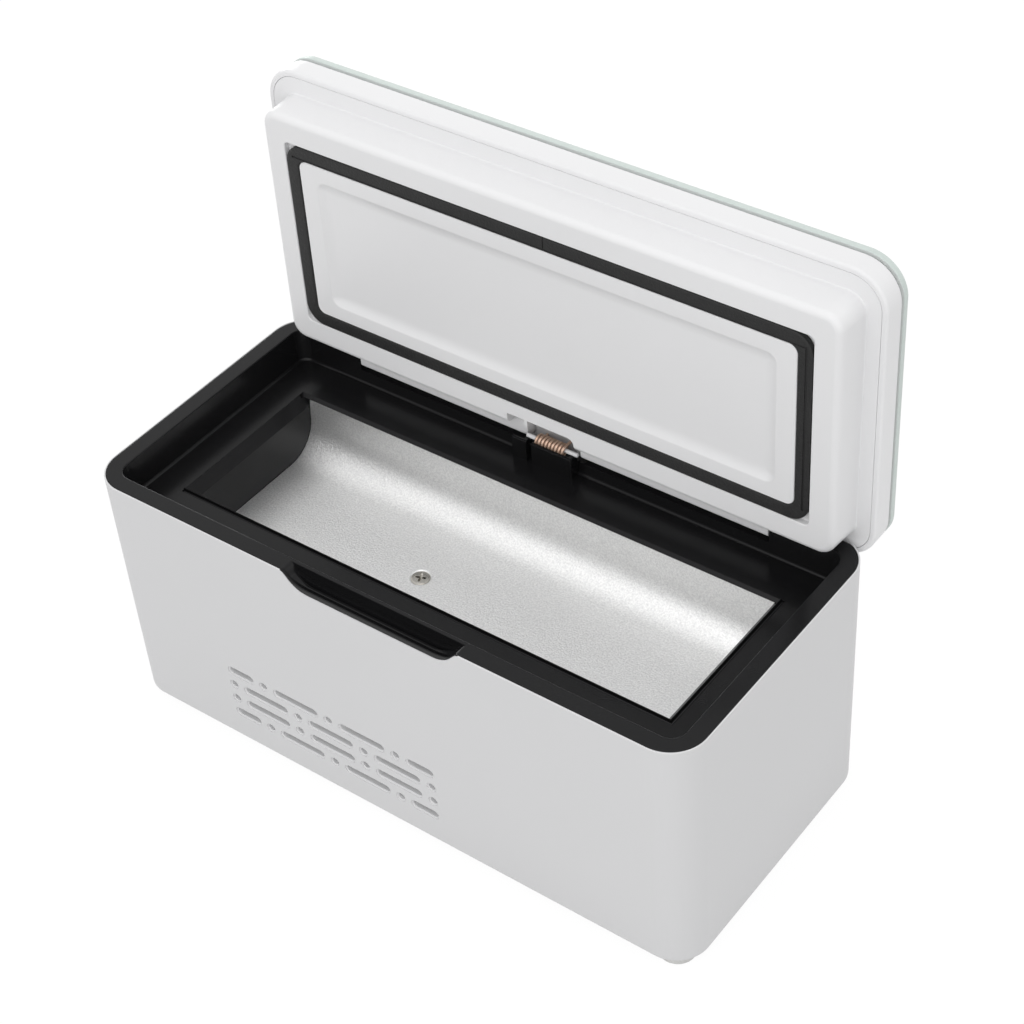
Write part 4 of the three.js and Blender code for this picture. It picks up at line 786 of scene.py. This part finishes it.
def outer_shell():
    """The housing's shell: a tapered box, hollow, with a rebate for the frame round its rim."""
    low_x, low_y = HALF_X - TAPER, HALF_Y - TAPER
    profile = bottom_edge(FOOT_Z, 0.8, 6, TAPER) + top_edge(RIM_Z, 0.22, 3)
    body = lift(profile, HALF_X, HALF_Y, CORNER)
    inner = lift([(FOOT_Z - OVER, 0), (RIM_Z + OVER, -TAPER)], low_x - WALL, low_y - WALL, CORNER - WALL)
    rebate = lift([(RIM_Z - REBATE, LIP), (RIM_Z + OVER, LIP)], HALF_X, HALF_Y, CORNER)
    notch = along_y(notch_outline(0.0), -HALF_Y - OVER, -HALF_Y + WALL + OVER)
    socket = turned([(-WALL - OVER, SOCKET_HOLE), (OVER, SOCKET_HOLE)], (SOCKET_X, low_y, SOCKET_Z), "y")
    steps = cuts(inner, rebate, bar_recess(1), bar_recess(-1), rear_round(), ear_pocket(1), ear_pocket(-1),
                 notch, socket, vents())
    place("outer_shell", shaped(body, steps), SHELL_WHITE, "housing")


def tray_well():
    """The hole for the tray: the sheet's own room, and over it an opening as wide as the tray inside,
    with a bevel over the ledge at each end and along the back."""
    half = TRAY_HALF + TRAY_SHEET + 0.15
    back = TRAY_Y + TRAY_HALF
    low = TRAY_FLOOR - TRAY_SHEET - OVER
    left = TRAY_LEFT - LEFT_BEVEL
    right = TRAY_RIGHT + RIGHT_BEVEL
    room = block((TRAY_LEFT, TRAY_Y - half, low), (TRAY_RIGHT, TRAY_Y + half, LEDGE_Z - TRAY_LIP))
    ends = [
        (TRAY_LEFT, low), (TRAY_RIGHT, low), (TRAY_RIGHT, LEDGE_Z - RIGHT_BEVEL), (right, LEDGE_Z),
        (right, RIM_Z), (left, RIM_Z), (left, LEDGE_Z - 0.2), (left + 0.2, LEDGE_Z - 0.4),
        (TRAY_LEFT, LEDGE_Z - LEFT_BEVEL),
    ]
    rear = [
        (back - TRAY_LIP, LEDGE_Z - TRAY_LIP), (back, LEDGE_Z - TRAY_LIP), (back + TRAY_LIP, LEDGE_Z),
        (back + TRAY_LIP, LEDGE_Z + 0.5), (back - TRAY_LIP, LEDGE_Z + 0.5),
    ]
    return [room, along_y(ends, TRAY_Y - TRAY_HALF, back), along_x(rear, left, right)]


def well_edge(low, high, rise, past=0.0):
    """A strip along the front and the right edge of the tray's hole, from one distance off the edge to
    another: its section is an ellipse about the ledge's height, and its ends may run past the hole's."""
    front = TRAY_Y - TRAY_HALF
    right = TRAY_RIGHT + RIGHT_BEVEL
    back = TRAY_Y + TRAY_HALF + TRAY_LIP
    angle = np.linspace(0, 2 * math.pi, 17)[:-1]
    across = (low + high) / 2 + (high - low) / 2 * np.cos(angle)
    section = np.column_stack([across, rise * np.sin(angle)])
    path = [(TRAY_LEFT - LEFT_BEVEL - past, front, 0, -1), (right, front, 1, -1), (right, back + past, 1, 0)]
    rings = [[(x + u * away, y + v * away, LEDGE_Z + z) for away, z in section] for x, y, u, v in path]
    return skin(rings)


def tray_ends():
    """The walls that close the tray's ends, and a thicker part behind the bevel of the left one."""
    half = TRAY_HALF + TRAY_SHEET + 2.15
    front, back = TRAY_Y - half, TRAY_Y + half
    low, high = TRAY_FLOOR - TRAY_SHEET - 0.1, LEDGE_Z - 1
    outer = TRAY_LEFT - FRAME_WALL
    return [block((outer, front, low), (TRAY_LEFT, back, high)),
            block((TRAY_RIGHT, front, low), (TRAY_RIGHT + FRAME_WALL, back, high)),
            block((outer - LEFT_BEVEL, front, high - LEFT_BEVEL), (TRAY_LEFT - 1, back, high))]


def spring_lug():
    """The lug under the spring: a front wall rounded at its ends, a floor and two saddles for the pin."""
    low = LEDGE_Z - 1
    top = RIM_Z - 3.3
    wall = lift([(low, 0), (top - 0.4, 0), (top - 0.12, 0.12), (top, 0.4)], 10.4, 0.55, 0.5, -1.8, 36.15, 6)
    floor = block((-12.2, 35.7, low), (8.6, CAVITY_Y, RIM_Z - 6))
    saddles = [block((x - 0.6, 35.8, low), (x + 0.6, SPRING_Y + 0.4, SPRING_Z))
               for x in (-SADDLE_X, SADDLE_X)]
    return [wall, floor, *saddles]


def rib_slot():
    """The slot in the lug's front wall for the rib of the shut lid's plug."""
    middle, half = (RIB_LEFT + RIB_RIGHT) / 2, 0.9
    return block((middle - half, 34.0, LEDGE_Z), (middle + half, 37.85, RIM_Z))


def top_frame():
    """The frame: a flange in the shell's rebate and a tub below it, with the notch's lining, the tray's hole
    and end walls, the spring's lug, and the ears and rooms of the hinge."""
    flange_x, flange_y, flange_r = (size - LIP - LIP_GAP for size in (HALF_X, HALF_Y, CORNER))
    flange = lift([(RIM_Z - REBATE + 0.05, 0)] + top_edge(RIM_Z, 0.3, 5), flange_x, flange_y, flange_r)
    tub = lift([(LEDGE_Z - FRAME_WALL, CAVITY_DRAFT), (RIM_Z - 0.8, 0)], CAVITY_X + FRAME_WALL,
               CAVITY_Y + FRAME_WALL, CAVITY_CORNER + FRAME_WALL)
    profile = bottom_edge(LEDGE_Z, 0.9, 5, CAVITY_DRAFT) + flare(RIM_Z, 0.4, 5)
    cavity = lift(profile, CAVITY_X, CAVITY_Y, CAVITY_CORNER)
    lining = shaped_solid(along_y(notch_outline(0.14), -HALF_Y + 0.08, -CAVITY_Y),
                          cuts(block((-HALF_X, -HALF_Y - 1, RIM_Z), (HALF_X, 0, RIM_Z + 9))))
    middle = block((-BAR_GAP, CAVITY_Y - RIM_WIDTH / 2, RIM_Z - BAR_ROOM), (BAR_GAP, HALF_Y, RIM_Z + OVER))
    spring_bore = turned([(-11, 0.9), (11, 0.9)], (0, SPRING_Y, SPRING_Z), "x", 24)
    steps = joins(tub, lining, *tray_ends())
    steps += cuts(cavity, bar_recess(1), bar_recess(-1), middle, *notch_hollow())
    steps += joins(hinge_ear(-1), hinge_ear(1), *spring_lug())
    steps += cuts(rib_slot(), well_edge(BEAD, BEAD + GROOVE, 0.5))
    steps += joins(well_edge(0.15, BEAD, 0.55))
    steps += cuts(rear_round(), *tray_well(), hinge_bore(-1), hinge_bore(1), spring_bore)
    place("top_frame", shaped(flange, steps), FRAME_BLACK, "housing")


def tray_section(offset):
    """Half a trough in (y, z) and its mirror image: a leaning side, a quarter round and the flat floor."""
    centre = TRAY_HALF - TRAY_LEAN - TRAY_CURVE
    radius = TRAY_CURVE + offset
    bend = arc((centre, TRAY_FLOOR + TRAY_CURVE), radius, 0, -90, 24)
    side = np.concatenate([[(TRAY_HALF + offset, LEDGE_Z - TRAY_LIP - 0.05)], bend])
    whole = np.concatenate([side, side[::-1] * np.array([-1.0, 1.0])])
    return whole + np.array([TRAY_Y, 0.0])


def cooling_tray():
    """The tray: bent sheet, countersunk for its screw."""
    section = np.concatenate([tray_section(TRAY_SHEET), tray_section(0.0)[::-1]])
    sheet = along_x(section, TRAY_LEFT + 0.12, TRAY_RIGHT - 0.12)
    profile = [(TRAY_FLOOR - 2, 1.2), (TRAY_FLOOR - 1.3, 1.2), (TRAY_FLOOR, 3.3), (TRAY_FLOOR + 0.4, 3.7)]
    sink = turned(profile, (SCREW_X, SCREW_Y, 0))
    place("cooling_tray", shaped(sheet, cuts(sink)), TRAY_METAL, "housing")


def cross_recess(centre, top, reach=1.75, width=0.7, depth=1.1):
    """A cross recess: two tapered bars at right angles, narrower at the bottom."""
    bars = []
    for turn in (0, 1):
        rings = []
        for z, share in ((top - depth, 0.35), (top + 0.3, 1.1)):
            a, b = reach * share, width * (0.6 + 0.4 * share) / 2
            a, b = (a, b) if turn == 0 else (b, a)
            rings.append([(centre[0] + x, centre[1] + y, z) for x, y in ((-a, -b), (a, -b), (a, b), (-a, b))])
        bars.append(skin(rings))
    return bars


def tray_screw():
    """The screw in the tray's floor: a low domed countersunk head, turned a little."""
    top = TRAY_FLOOR - 0.1
    low = TRAY_FLOOR - 7
    profile = [(low, 0.9), (top - 2.3, 0.95), (top - 2.2, 1.0), (top - 0.35, 2.72), (top - 0.18, 2.85),
               (top - 0.05, 2.8), (top + 0.05, 2.5), (top + 0.12, 1.6), (top + 0.14, 0.5)]
    head = turned(profile, (SCREW_X, SCREW_Y, 0), steps=40)
    mesh = shaped(head, cuts(*cross_recess((SCREW_X, SCREW_Y), top + 0.1)))
    turn = Matrix.Rotation(math.radians(SCREW_TURN), 4, "Z")
    centre = Matrix.Translation((SCREW_X * MM, SCREW_Y * MM, 0))
    mesh.transform(centre @ turn @ centre.inverted())
    place("tray_screw", mesh, STEEL, "housing")


def foot(name, x, y):
    """A rubber foot turned round its middle: a rounded lower rim, a straight side and a stud."""
    rim = [(z, FOOT_RADIUS - inset) for z, inset in bottom_edge(0, 0.45, 5)]
    stud = [(1.95, STUD_RADIUS), (5.4, STUD_RADIUS), (5.5, 0.4)]
    profile = [(0, 0.4)] + rim + [(1.9, FOOT_RADIUS)] + stud
    place(name, mesh_of(turned(profile, (x, y, 0))), FOOT_RUBBER, "housing", 40)


def charging_socket():
    """The socket: a block inside, and a round barrel whose bore holds a centre pin."""
    inside = HALF_Y - TAPER - WALL - 0.3
    face = HALF_Y - TAPER - 0.3
    centre = (SOCKET_X, 0, SOCKET_Z)
    body = block((SOCKET_X - 5, 29, SOCKET_Z - 4.9), (SOCKET_X + 5, inside, SOCKET_Z + 5.1))
    barrel = turned([(inside - 2, SOCKET_BARREL), (face - 0.3, SOCKET_BARREL), (face, SOCKET_BARREL - 0.3)],
                    centre, "y")
    bore = turned([(face - 9, SOCKET_BORE), (face - 0.25, SOCKET_BORE), (face + 0.1, SOCKET_BORE + 0.3),
                   (face + 1, SOCKET_BORE + 0.3)], centre, "y")
    pin = turned([(face - 11, SOCKET_PIN), (face - 2.2, SOCKET_PIN), (face - 2, SOCKET_PIN - 0.25)],
                 centre, "y", 24)
    mesh = shaped(body, joins(barrel) + cuts(bore) + joins(pin))
    place("charging_socket", mesh, PART_BLACK, "housing", 34)


def lid_spring():
    """A helix round the pin with a straight leg to the rear wall at each end: y and z go round by the
    cosine and sine while x grows at a steady rate."""
    steps = int(SPRING_TURNS * SPRING_TURN_STEPS)
    angle = -math.pi / 2 - np.arange(steps + 1) / SPRING_TURN_STEPS * 2 * math.pi
    x = np.linspace(-SPRING_HALF, SPRING_HALF, steps + 1)
    y, z = SPRING_Y + SPRING_RADIUS * np.cos(angle), SPRING_Z + SPRING_RADIUS * np.sin(angle)
    coil = np.column_stack([x, y, z])
    reach = np.linspace(SPRING_LEG, 0.5, 6)
    first, last = (np.column_stack([np.full(6, side * SPRING_HALF), SPRING_Y + reach,
                                    np.full(6, SPRING_Z + side * SPRING_RADIUS)]) for side in (-1, 1))
    path = np.concatenate([first, coil, last[::-1]])
    mesh = mesh_of(tube(path, SPRING_WIRE / 2))
    place("lid_spring", mesh, COPPER, "housing", 60)


def spring_pin():
    """The pin through the spring, its ends rounded off."""
    profile = [(-8.6, 0.2), (-8.6, 0.5), (-8.45, 0.65), (8.85, 0.65), (9.0, 0.5), (9.0, 0.2)]
    mesh = mesh_of(turned(profile, (0, SPRING_Y, SPRING_Z), "x", 32))
    place("spring_pin", mesh, LID_WHITE, "housing", 40)


# Lid, drawn shut and then opened

def pocket_cuts():
    """The pockets in the plug's rear edge: a square one, and one with its far corner rounded."""
    low, high, back = FACE_Z - OVER, RIM_Z + 0.45, PLUG_Y + OVER
    left = block((POCKET_LEFT, POCKET_Y, low), (RIB_LEFT, back, high))
    corner = arc((POCKET_RIGHT - 2.2, POCKET_Y + 2.2), 2.2, -90, 0, 8)
    flat = np.concatenate([[(RIB_RIGHT, POCKET_Y)], corner, [(POCKET_RIGHT, back), (RIB_RIGHT, back)]])
    right = skin([np.column_stack([flat, np.full(len(flat), z)]) for z in (low, high)])
    rib = block((RIB_LEFT - 0.2, POCKET_Y + 2.2, low), (RIB_RIGHT + 0.2, back, high))
    return [left, right, rib]


def gasket_groove():
    """The groove for the gasket: a ring with slightly opened upper edges."""
    outer = lift([(FACE_Z - 1, -0.25), (FACE_Z - 0.02, -0.25), (FACE_Z + 0.2, -0.05), (FACE_Z + 1.8, 0)],
                 GASKET_X + 0.15, GASKET_Y + 0.15, 1.4, steps=6)
    inner = lift([(FACE_Z - 1.5, 0.2), (FACE_Z - 0.02, 0.2), (FACE_Z + 0.2, 0.0), (FACE_Z + 2.5, 0)],
                 GASKET_X - GASKET_WIDTH - 0.15, GASKET_Y - GASKET_WIDTH - 0.15, 2.6)
    return shaped_solid(outer, cuts(inner))


def lid_liner():
    """The plug: its rounded face and sides flared into the flange, hollow behind, with the gasket's groove,
    the pockets at the hinge, and a panel sunk by s(2 - s) of its depth over a share s of its slope."""
    profile = bottom_edge(FACE_Z, 2.0, 10)
    profile += [(FLANGE_Z - 0.6, -0.45), (FLANGE_Z - 0.18, -0.62), (FLANGE_Z + 0.3, -1.1)]
    plug = lift(profile, PLUG_X, PLUG_Y, PLUG_CORNER)
    inset = COVER_RIM + 0.07
    flange = lift([(FLANGE_Z, 0.22), (FLANGE_Z + 0.06, 0.08), (FLANGE_Z + 0.22, 0.0), (FLANGE_TOP, 0.0)],
                  COVER_X - inset, COVER_HALF_Y - inset, CORNER - inset, mid_y=COVER_Y)
    hollow = lift([(FACE_Z + 3.2, 0), (FLANGE_TOP + OVER, 0)], PLUG_X - 2, PLUG_Y - 2, PLUG_CORNER - 2,
                  steps=6)
    slope = [(FACE_Z - 0.5, -0.3)]
    slope += [(FACE_Z - 0.01 + PANEL_DEPTH * s * (2 - s), PANEL_SLOPE * s) for s in np.linspace(0, 1, 9)]
    panel = lift(slope, PANEL_X, PANEL_Y, 3.4, mid_y=PANEL_MID)
    ceiling = block((POCKET_LEFT - 2, POCKET_Y - 2, FACE_Z + 1), (POCKET_RIGHT + 2, PLUG_Y - 0.4, FLANGE_TOP))
    steps = joins(flange) + cuts(hollow) + joins(ceiling) + cuts(*pocket_cuts(), gasket_groove(), panel)
    place("lid_liner", opened(shaped(plug, steps)), LID_WHITE, "lid")


def lid_cover():
    """The lid's outer shell: open below, with a pocket for the touch board and four sunk screw holes."""
    profile = bottom_edge(FLANGE_Z, 0.9, 6) + top_edge(COVER_TOP, 0.45, 4)
    profile += [(COVER_TOP, 1.1), (GLASS_Z, 1.1)]
    body = lift(profile, COVER_X, COVER_HALF_Y, CORNER, mid_y=COVER_Y)
    levels = [(FLANGE_Z - OVER, 0.0), (FLANGE_Z - 0.02, -0.1), (FLANGE_Z + 0.1, 0.0), (GLASS_Z - 3.0, 0.0)]
    hollow = lift(levels, COVER_X - COVER_RIM, COVER_HALF_Y - COVER_RIM, CORNER - COVER_RIM, mid_y=COVER_Y)
    pocket = block((-30.3, -35.3, GLASS_Z - 2.1), (30.3, -12.7, GLASS_Z + OVER))
    hole = [(GLASS_Z - 4, 1.3), (GLASS_Z - 1.5, 1.3), (GLASS_Z - 1.49, 2.5), (GLASS_Z + OVER, 2.5)]
    rows = (COVER_Y - COVER_HALF_Y + LID_SCREW_INSET, COVER_Y + COVER_HALF_Y - LID_SCREW_INSET)
    holes = [turned(hole, (x, y, 0), steps=24) for x in (-LID_SCREW_X, LID_SCREW_X) for y in rows]
    mesh = opened(shaped(body, cuts(hollow, pocket, together(holes))))
    place("lid_cover", mesh, LID_WHITE, "lid")


def lid_glass():
    """The glass plate: satin on its flat sides, and ground on its edge."""
    profile = [(GLASS_Z + 0.1, 0.16), (GLASS_Z + 0.26, 0.0), (LID_TOP - 0.25, 0.0), (LID_TOP - 0.07, 0.07),
               (LID_TOP, 0.25)]
    mesh = opened(mesh_of(lift(profile, COVER_X, COVER_HALF_Y, CORNER, mid_y=COVER_Y, steps=20)))
    place("lid_glass", mesh, GLASS, "lid")
    mesh.materials.append(GLASS_EDGE)
    for face in mesh.polygons:
        face.material_index = 1 if abs(face.normal.y) < 0.99 else 0


def lid_gasket():
    """A rubber ring with rounded shoulders: the outer and the inner outline joined over a low crown. It has a
    seam where its ends meet, and a shallow groove over the tray's bead."""
    low = FACE_Z - 0.1
    inner = GASKET_WIDTH
    section = [(low + 1.6, 0.0), (low + 0.45, 0.0), (low + 0.18, 0.09), (low + 0.05, 0.3), (low, 0.75),
               (low, inner - 0.75), (low + 0.05, inner - 0.3), (low + 0.18, inner - 0.09),
               (low + 0.45, inner), (low + 1.6, inner)]
    rings = []
    for z, inset in section:
        flat = outline(GASKET_X - inset, GASKET_Y - inset, 6.0 - inset * 0.7)
        rings.append(np.column_stack([flat, np.full(len(flat), z)]))
    seam = block((GASKET_SEAM - 0.12, -GASKET_Y - 1, low - 1),
                 (GASKET_SEAM + 0.12, -GASKET_Y + inner + 1, low + 0.5))
    groove = well_edge(0.05, BEAD + 0.1, 0.64, 0.3)
    mesh = opened(shaped(skin(rings, joined=True), cuts(seam, groove)))
    place("lid_gasket", mesh, GASKET_RUBBER, "lid", 40)


def hinge_bar(name, side):
    """A bar behind the plug: a profile in (y, z) with its lower edges rounded, carried along x."""
    front = PLUG_Y + 0.5 + 0.3
    back = HALF_Y - 0.85
    low = RIM_Z - 5.77
    high = FLANGE_Z - 0.1
    front_edge = arc((front + 0.5, low + 0.5), 0.5, 180, 270, 5)
    back_edge = arc((back - 1.2, low + 1.2), 1.2, -90, 0, 8)
    profile = np.concatenate([[(front, high)], front_edge, back_edge, [(back, high)]])
    mesh = opened(mesh_of(along_x(profile, *span(side, BAR_GAP, HINGE_HALF - 0.3))))
    place(name, mesh, LID_WHITE, "lid")


# Pieces of the frame that stay as they are take a finish of their own

FINISH = {
    "white_plastic": SHELL_WHITE, "black_plastic": PART_BLACK, "foot_rubber": FOOT_RUBBER, "steel": STEEL,
    "aluminium_sheet": BLOCK_METAL, "foam": FOAM, "ceramic": CERAMIC, "cell_wrap": WRAP,
    "circuit_board": BOARD, "display_film": FILM, "copper_wire": COPPER, "magnet_metal": MAGNET,
    "lid_glass": GLASS, "gasket_rubber": GASKET_RUBBER,
}


def finish_frame_nodes():
    """Every node of the frame gets the finish of its slot, which shows where no piece replaces the node."""
    for part in frame["record"]["subparts"]:
        node = frame["nodes"][part["node"]]
        node.data.materials.clear()
        node.data.materials.append(FINISH[part["material_slot"]])


# Studio

def plainly_seen(recipe):
    """1 for rays from the camera, off a gloss or through glass, and 0 for those that light the object."""
    rays = [recipe.node("ShaderNodeLightPath", output=ray)
            for ray in ("Is Camera Ray", "Is Glossy Ray", "Is Transmission Ray")]
    return rays[0].math("MINIMUM", rays[0] + rays[1] + rays[2], 1.0)


def studio_floor():
    """A plain floor, pale to the camera and in reflections, that still takes the object's shadow."""
    size = 3.0
    corners = [(-size, -size, 0), (size, -size, 0), (size, size, 0), (-size, size, 0)]
    mesh = bpy.data.meshes.new("studio_floor")
    mesh.from_pydata(corners, [], [(0, 1, 2, 3)])
    floor = bpy.data.objects.new("studio_floor", mesh)
    bpy.context.scene.collection.objects.link(floor)
    recipe = Recipe("studio_white")
    matt = recipe.node("ShaderNodeBsdfDiffuse", {}, {"Color": (0.58, 0.58, 0.58, 1)})
    glow = recipe.node("ShaderNodeEmission", {}, {"Color": (1, 1, 1, 1), "Strength": 1.06})
    shown = recipe.node("ShaderNodeMixShader", {}, {0: plainly_seen(recipe) * 0.9, 1: matt, 2: glow})
    recipe.node("ShaderNodeOutputMaterial", {}, {"Surface": shown})
    mesh.materials.append(recipe.owner)


def softbox(name, where, towards, size, power):
    """A rectangular lamp, in metres and watts, that faces a point."""
    data = bpy.data.lights.new(name, "AREA")
    data.shape = "RECTANGLE"
    data.size, data.size_y = size
    data.energy = power
    lamp = bpy.data.objects.new(name, data)
    bpy.context.scene.collection.objects.link(lamp)
    lamp.location = where
    lamp.rotation_mode = "QUATERNION"
    lamp.rotation_quaternion = (Vector(towards) - Vector(where)).to_track_quat("-Z", "Y")


def studio_light():
    """A white world, a little dimmer for the light on the object than it looks, and five soft lamps."""
    world = bpy.data.worlds.new("studio_world")
    bpy.context.scene.world = world
    recipe = Recipe("studio_world", world)
    lighting = recipe.node("ShaderNodeBackground", {}, {"Color": (1, 1, 1, 1), "Strength": 0.8})
    backdrop = recipe.node("ShaderNodeBackground", {}, {"Color": (1, 1, 1, 1), "Strength": 1.0})
    shown = recipe.node("ShaderNodeMixShader", {}, {0: plainly_seen(recipe), 1: lighting, 2: backdrop})
    recipe.node("ShaderNodeOutputWorld", {}, {"Surface": shown})
    towards = (0, 0, 0.08)
    softbox("softbox_above", (0.0, -0.03, 1.5), towards, (1.0, 1.0), 2.2)
    softbox("softbox_front", (0.0, -1.06, 1.06), towards, (1.0, 1.0), 3.6)
    softbox("softbox_front_right", (0.93, -1.11, 0.42), towards, (1.0, 0.8), 3.2)
    softbox("softbox_rear_right", (0.81, 0.81, 0.96), towards, (1.0, 1.0), 1.2)
    softbox("softbox_rear_left", (-0.9, 0.9, 0.25), towards, (1.0, 0.4), 4.0)


def studio_camera():
    """The camera on a sphere round its target: azimuth, elevation and roll in radians, distance in mm, and
    the focal length in pixels of a picture 1024 wide."""
    azimuth, elevation, roll = 0.6942309298, 0.7193943270, -0.0846574783
    target = np.array([-19.203073, 41.543235 + CASE_Y, RIM_Z - 40.0])
    distance, focal = 693.733389, 2334.589788
    back = np.array([math.sin(azimuth) * math.cos(elevation), -math.cos(azimuth) * math.cos(elevation),
                     math.sin(elevation)])
    right = np.cross(-back, [0, 0, 1])
    right /= np.linalg.norm(right)
    up = np.cross(right, -back)
    across = math.cos(roll) * right + math.sin(roll) * up
    upward = -math.sin(roll) * right + math.cos(roll) * up
    place_m = (target + back * distance) * MM
    data = bpy.data.cameras.new("studio_camera")
    sensor, picture = 36.0, 1024.0
    data.sensor_width = sensor
    data.lens = focal * sensor / picture
    data.clip_start, data.clip_end = 0.01, 20.0
    camera = bpy.data.objects.new("studio_camera", data)
    bpy.context.scene.collection.objects.link(camera)
    axes = np.column_stack([across, upward, back, place_m])
    camera.matrix_world = Matrix([*axes.tolist(), [0, 0, 0, 1]])
    bpy.context.scene.camera = camera


finish_frame_nodes()
outer_shell()
top_frame()
cooling_tray()
tray_screw()
foot("foot_rear_right", FOOT_X, FOOT_Y)
foot("foot_rear_left", -FOOT_X, FOOT_Y)
foot("foot_front_left", -FOOT_X, -FOOT_Y)
foot("foot_front_right", FOOT_X, -FOOT_Y)
charging_socket()
lid_spring()
spring_pin()
lid_liner()
lid_cover()
lid_glass()
lid_gasket()
hinge_bar("hinge_bar_left", -1)
hinge_bar("hinge_bar_right", 1)

studio_floor()
studio_light()
studio_camera()

bpy.context.scene.view_settings.view_transform = "Standard"
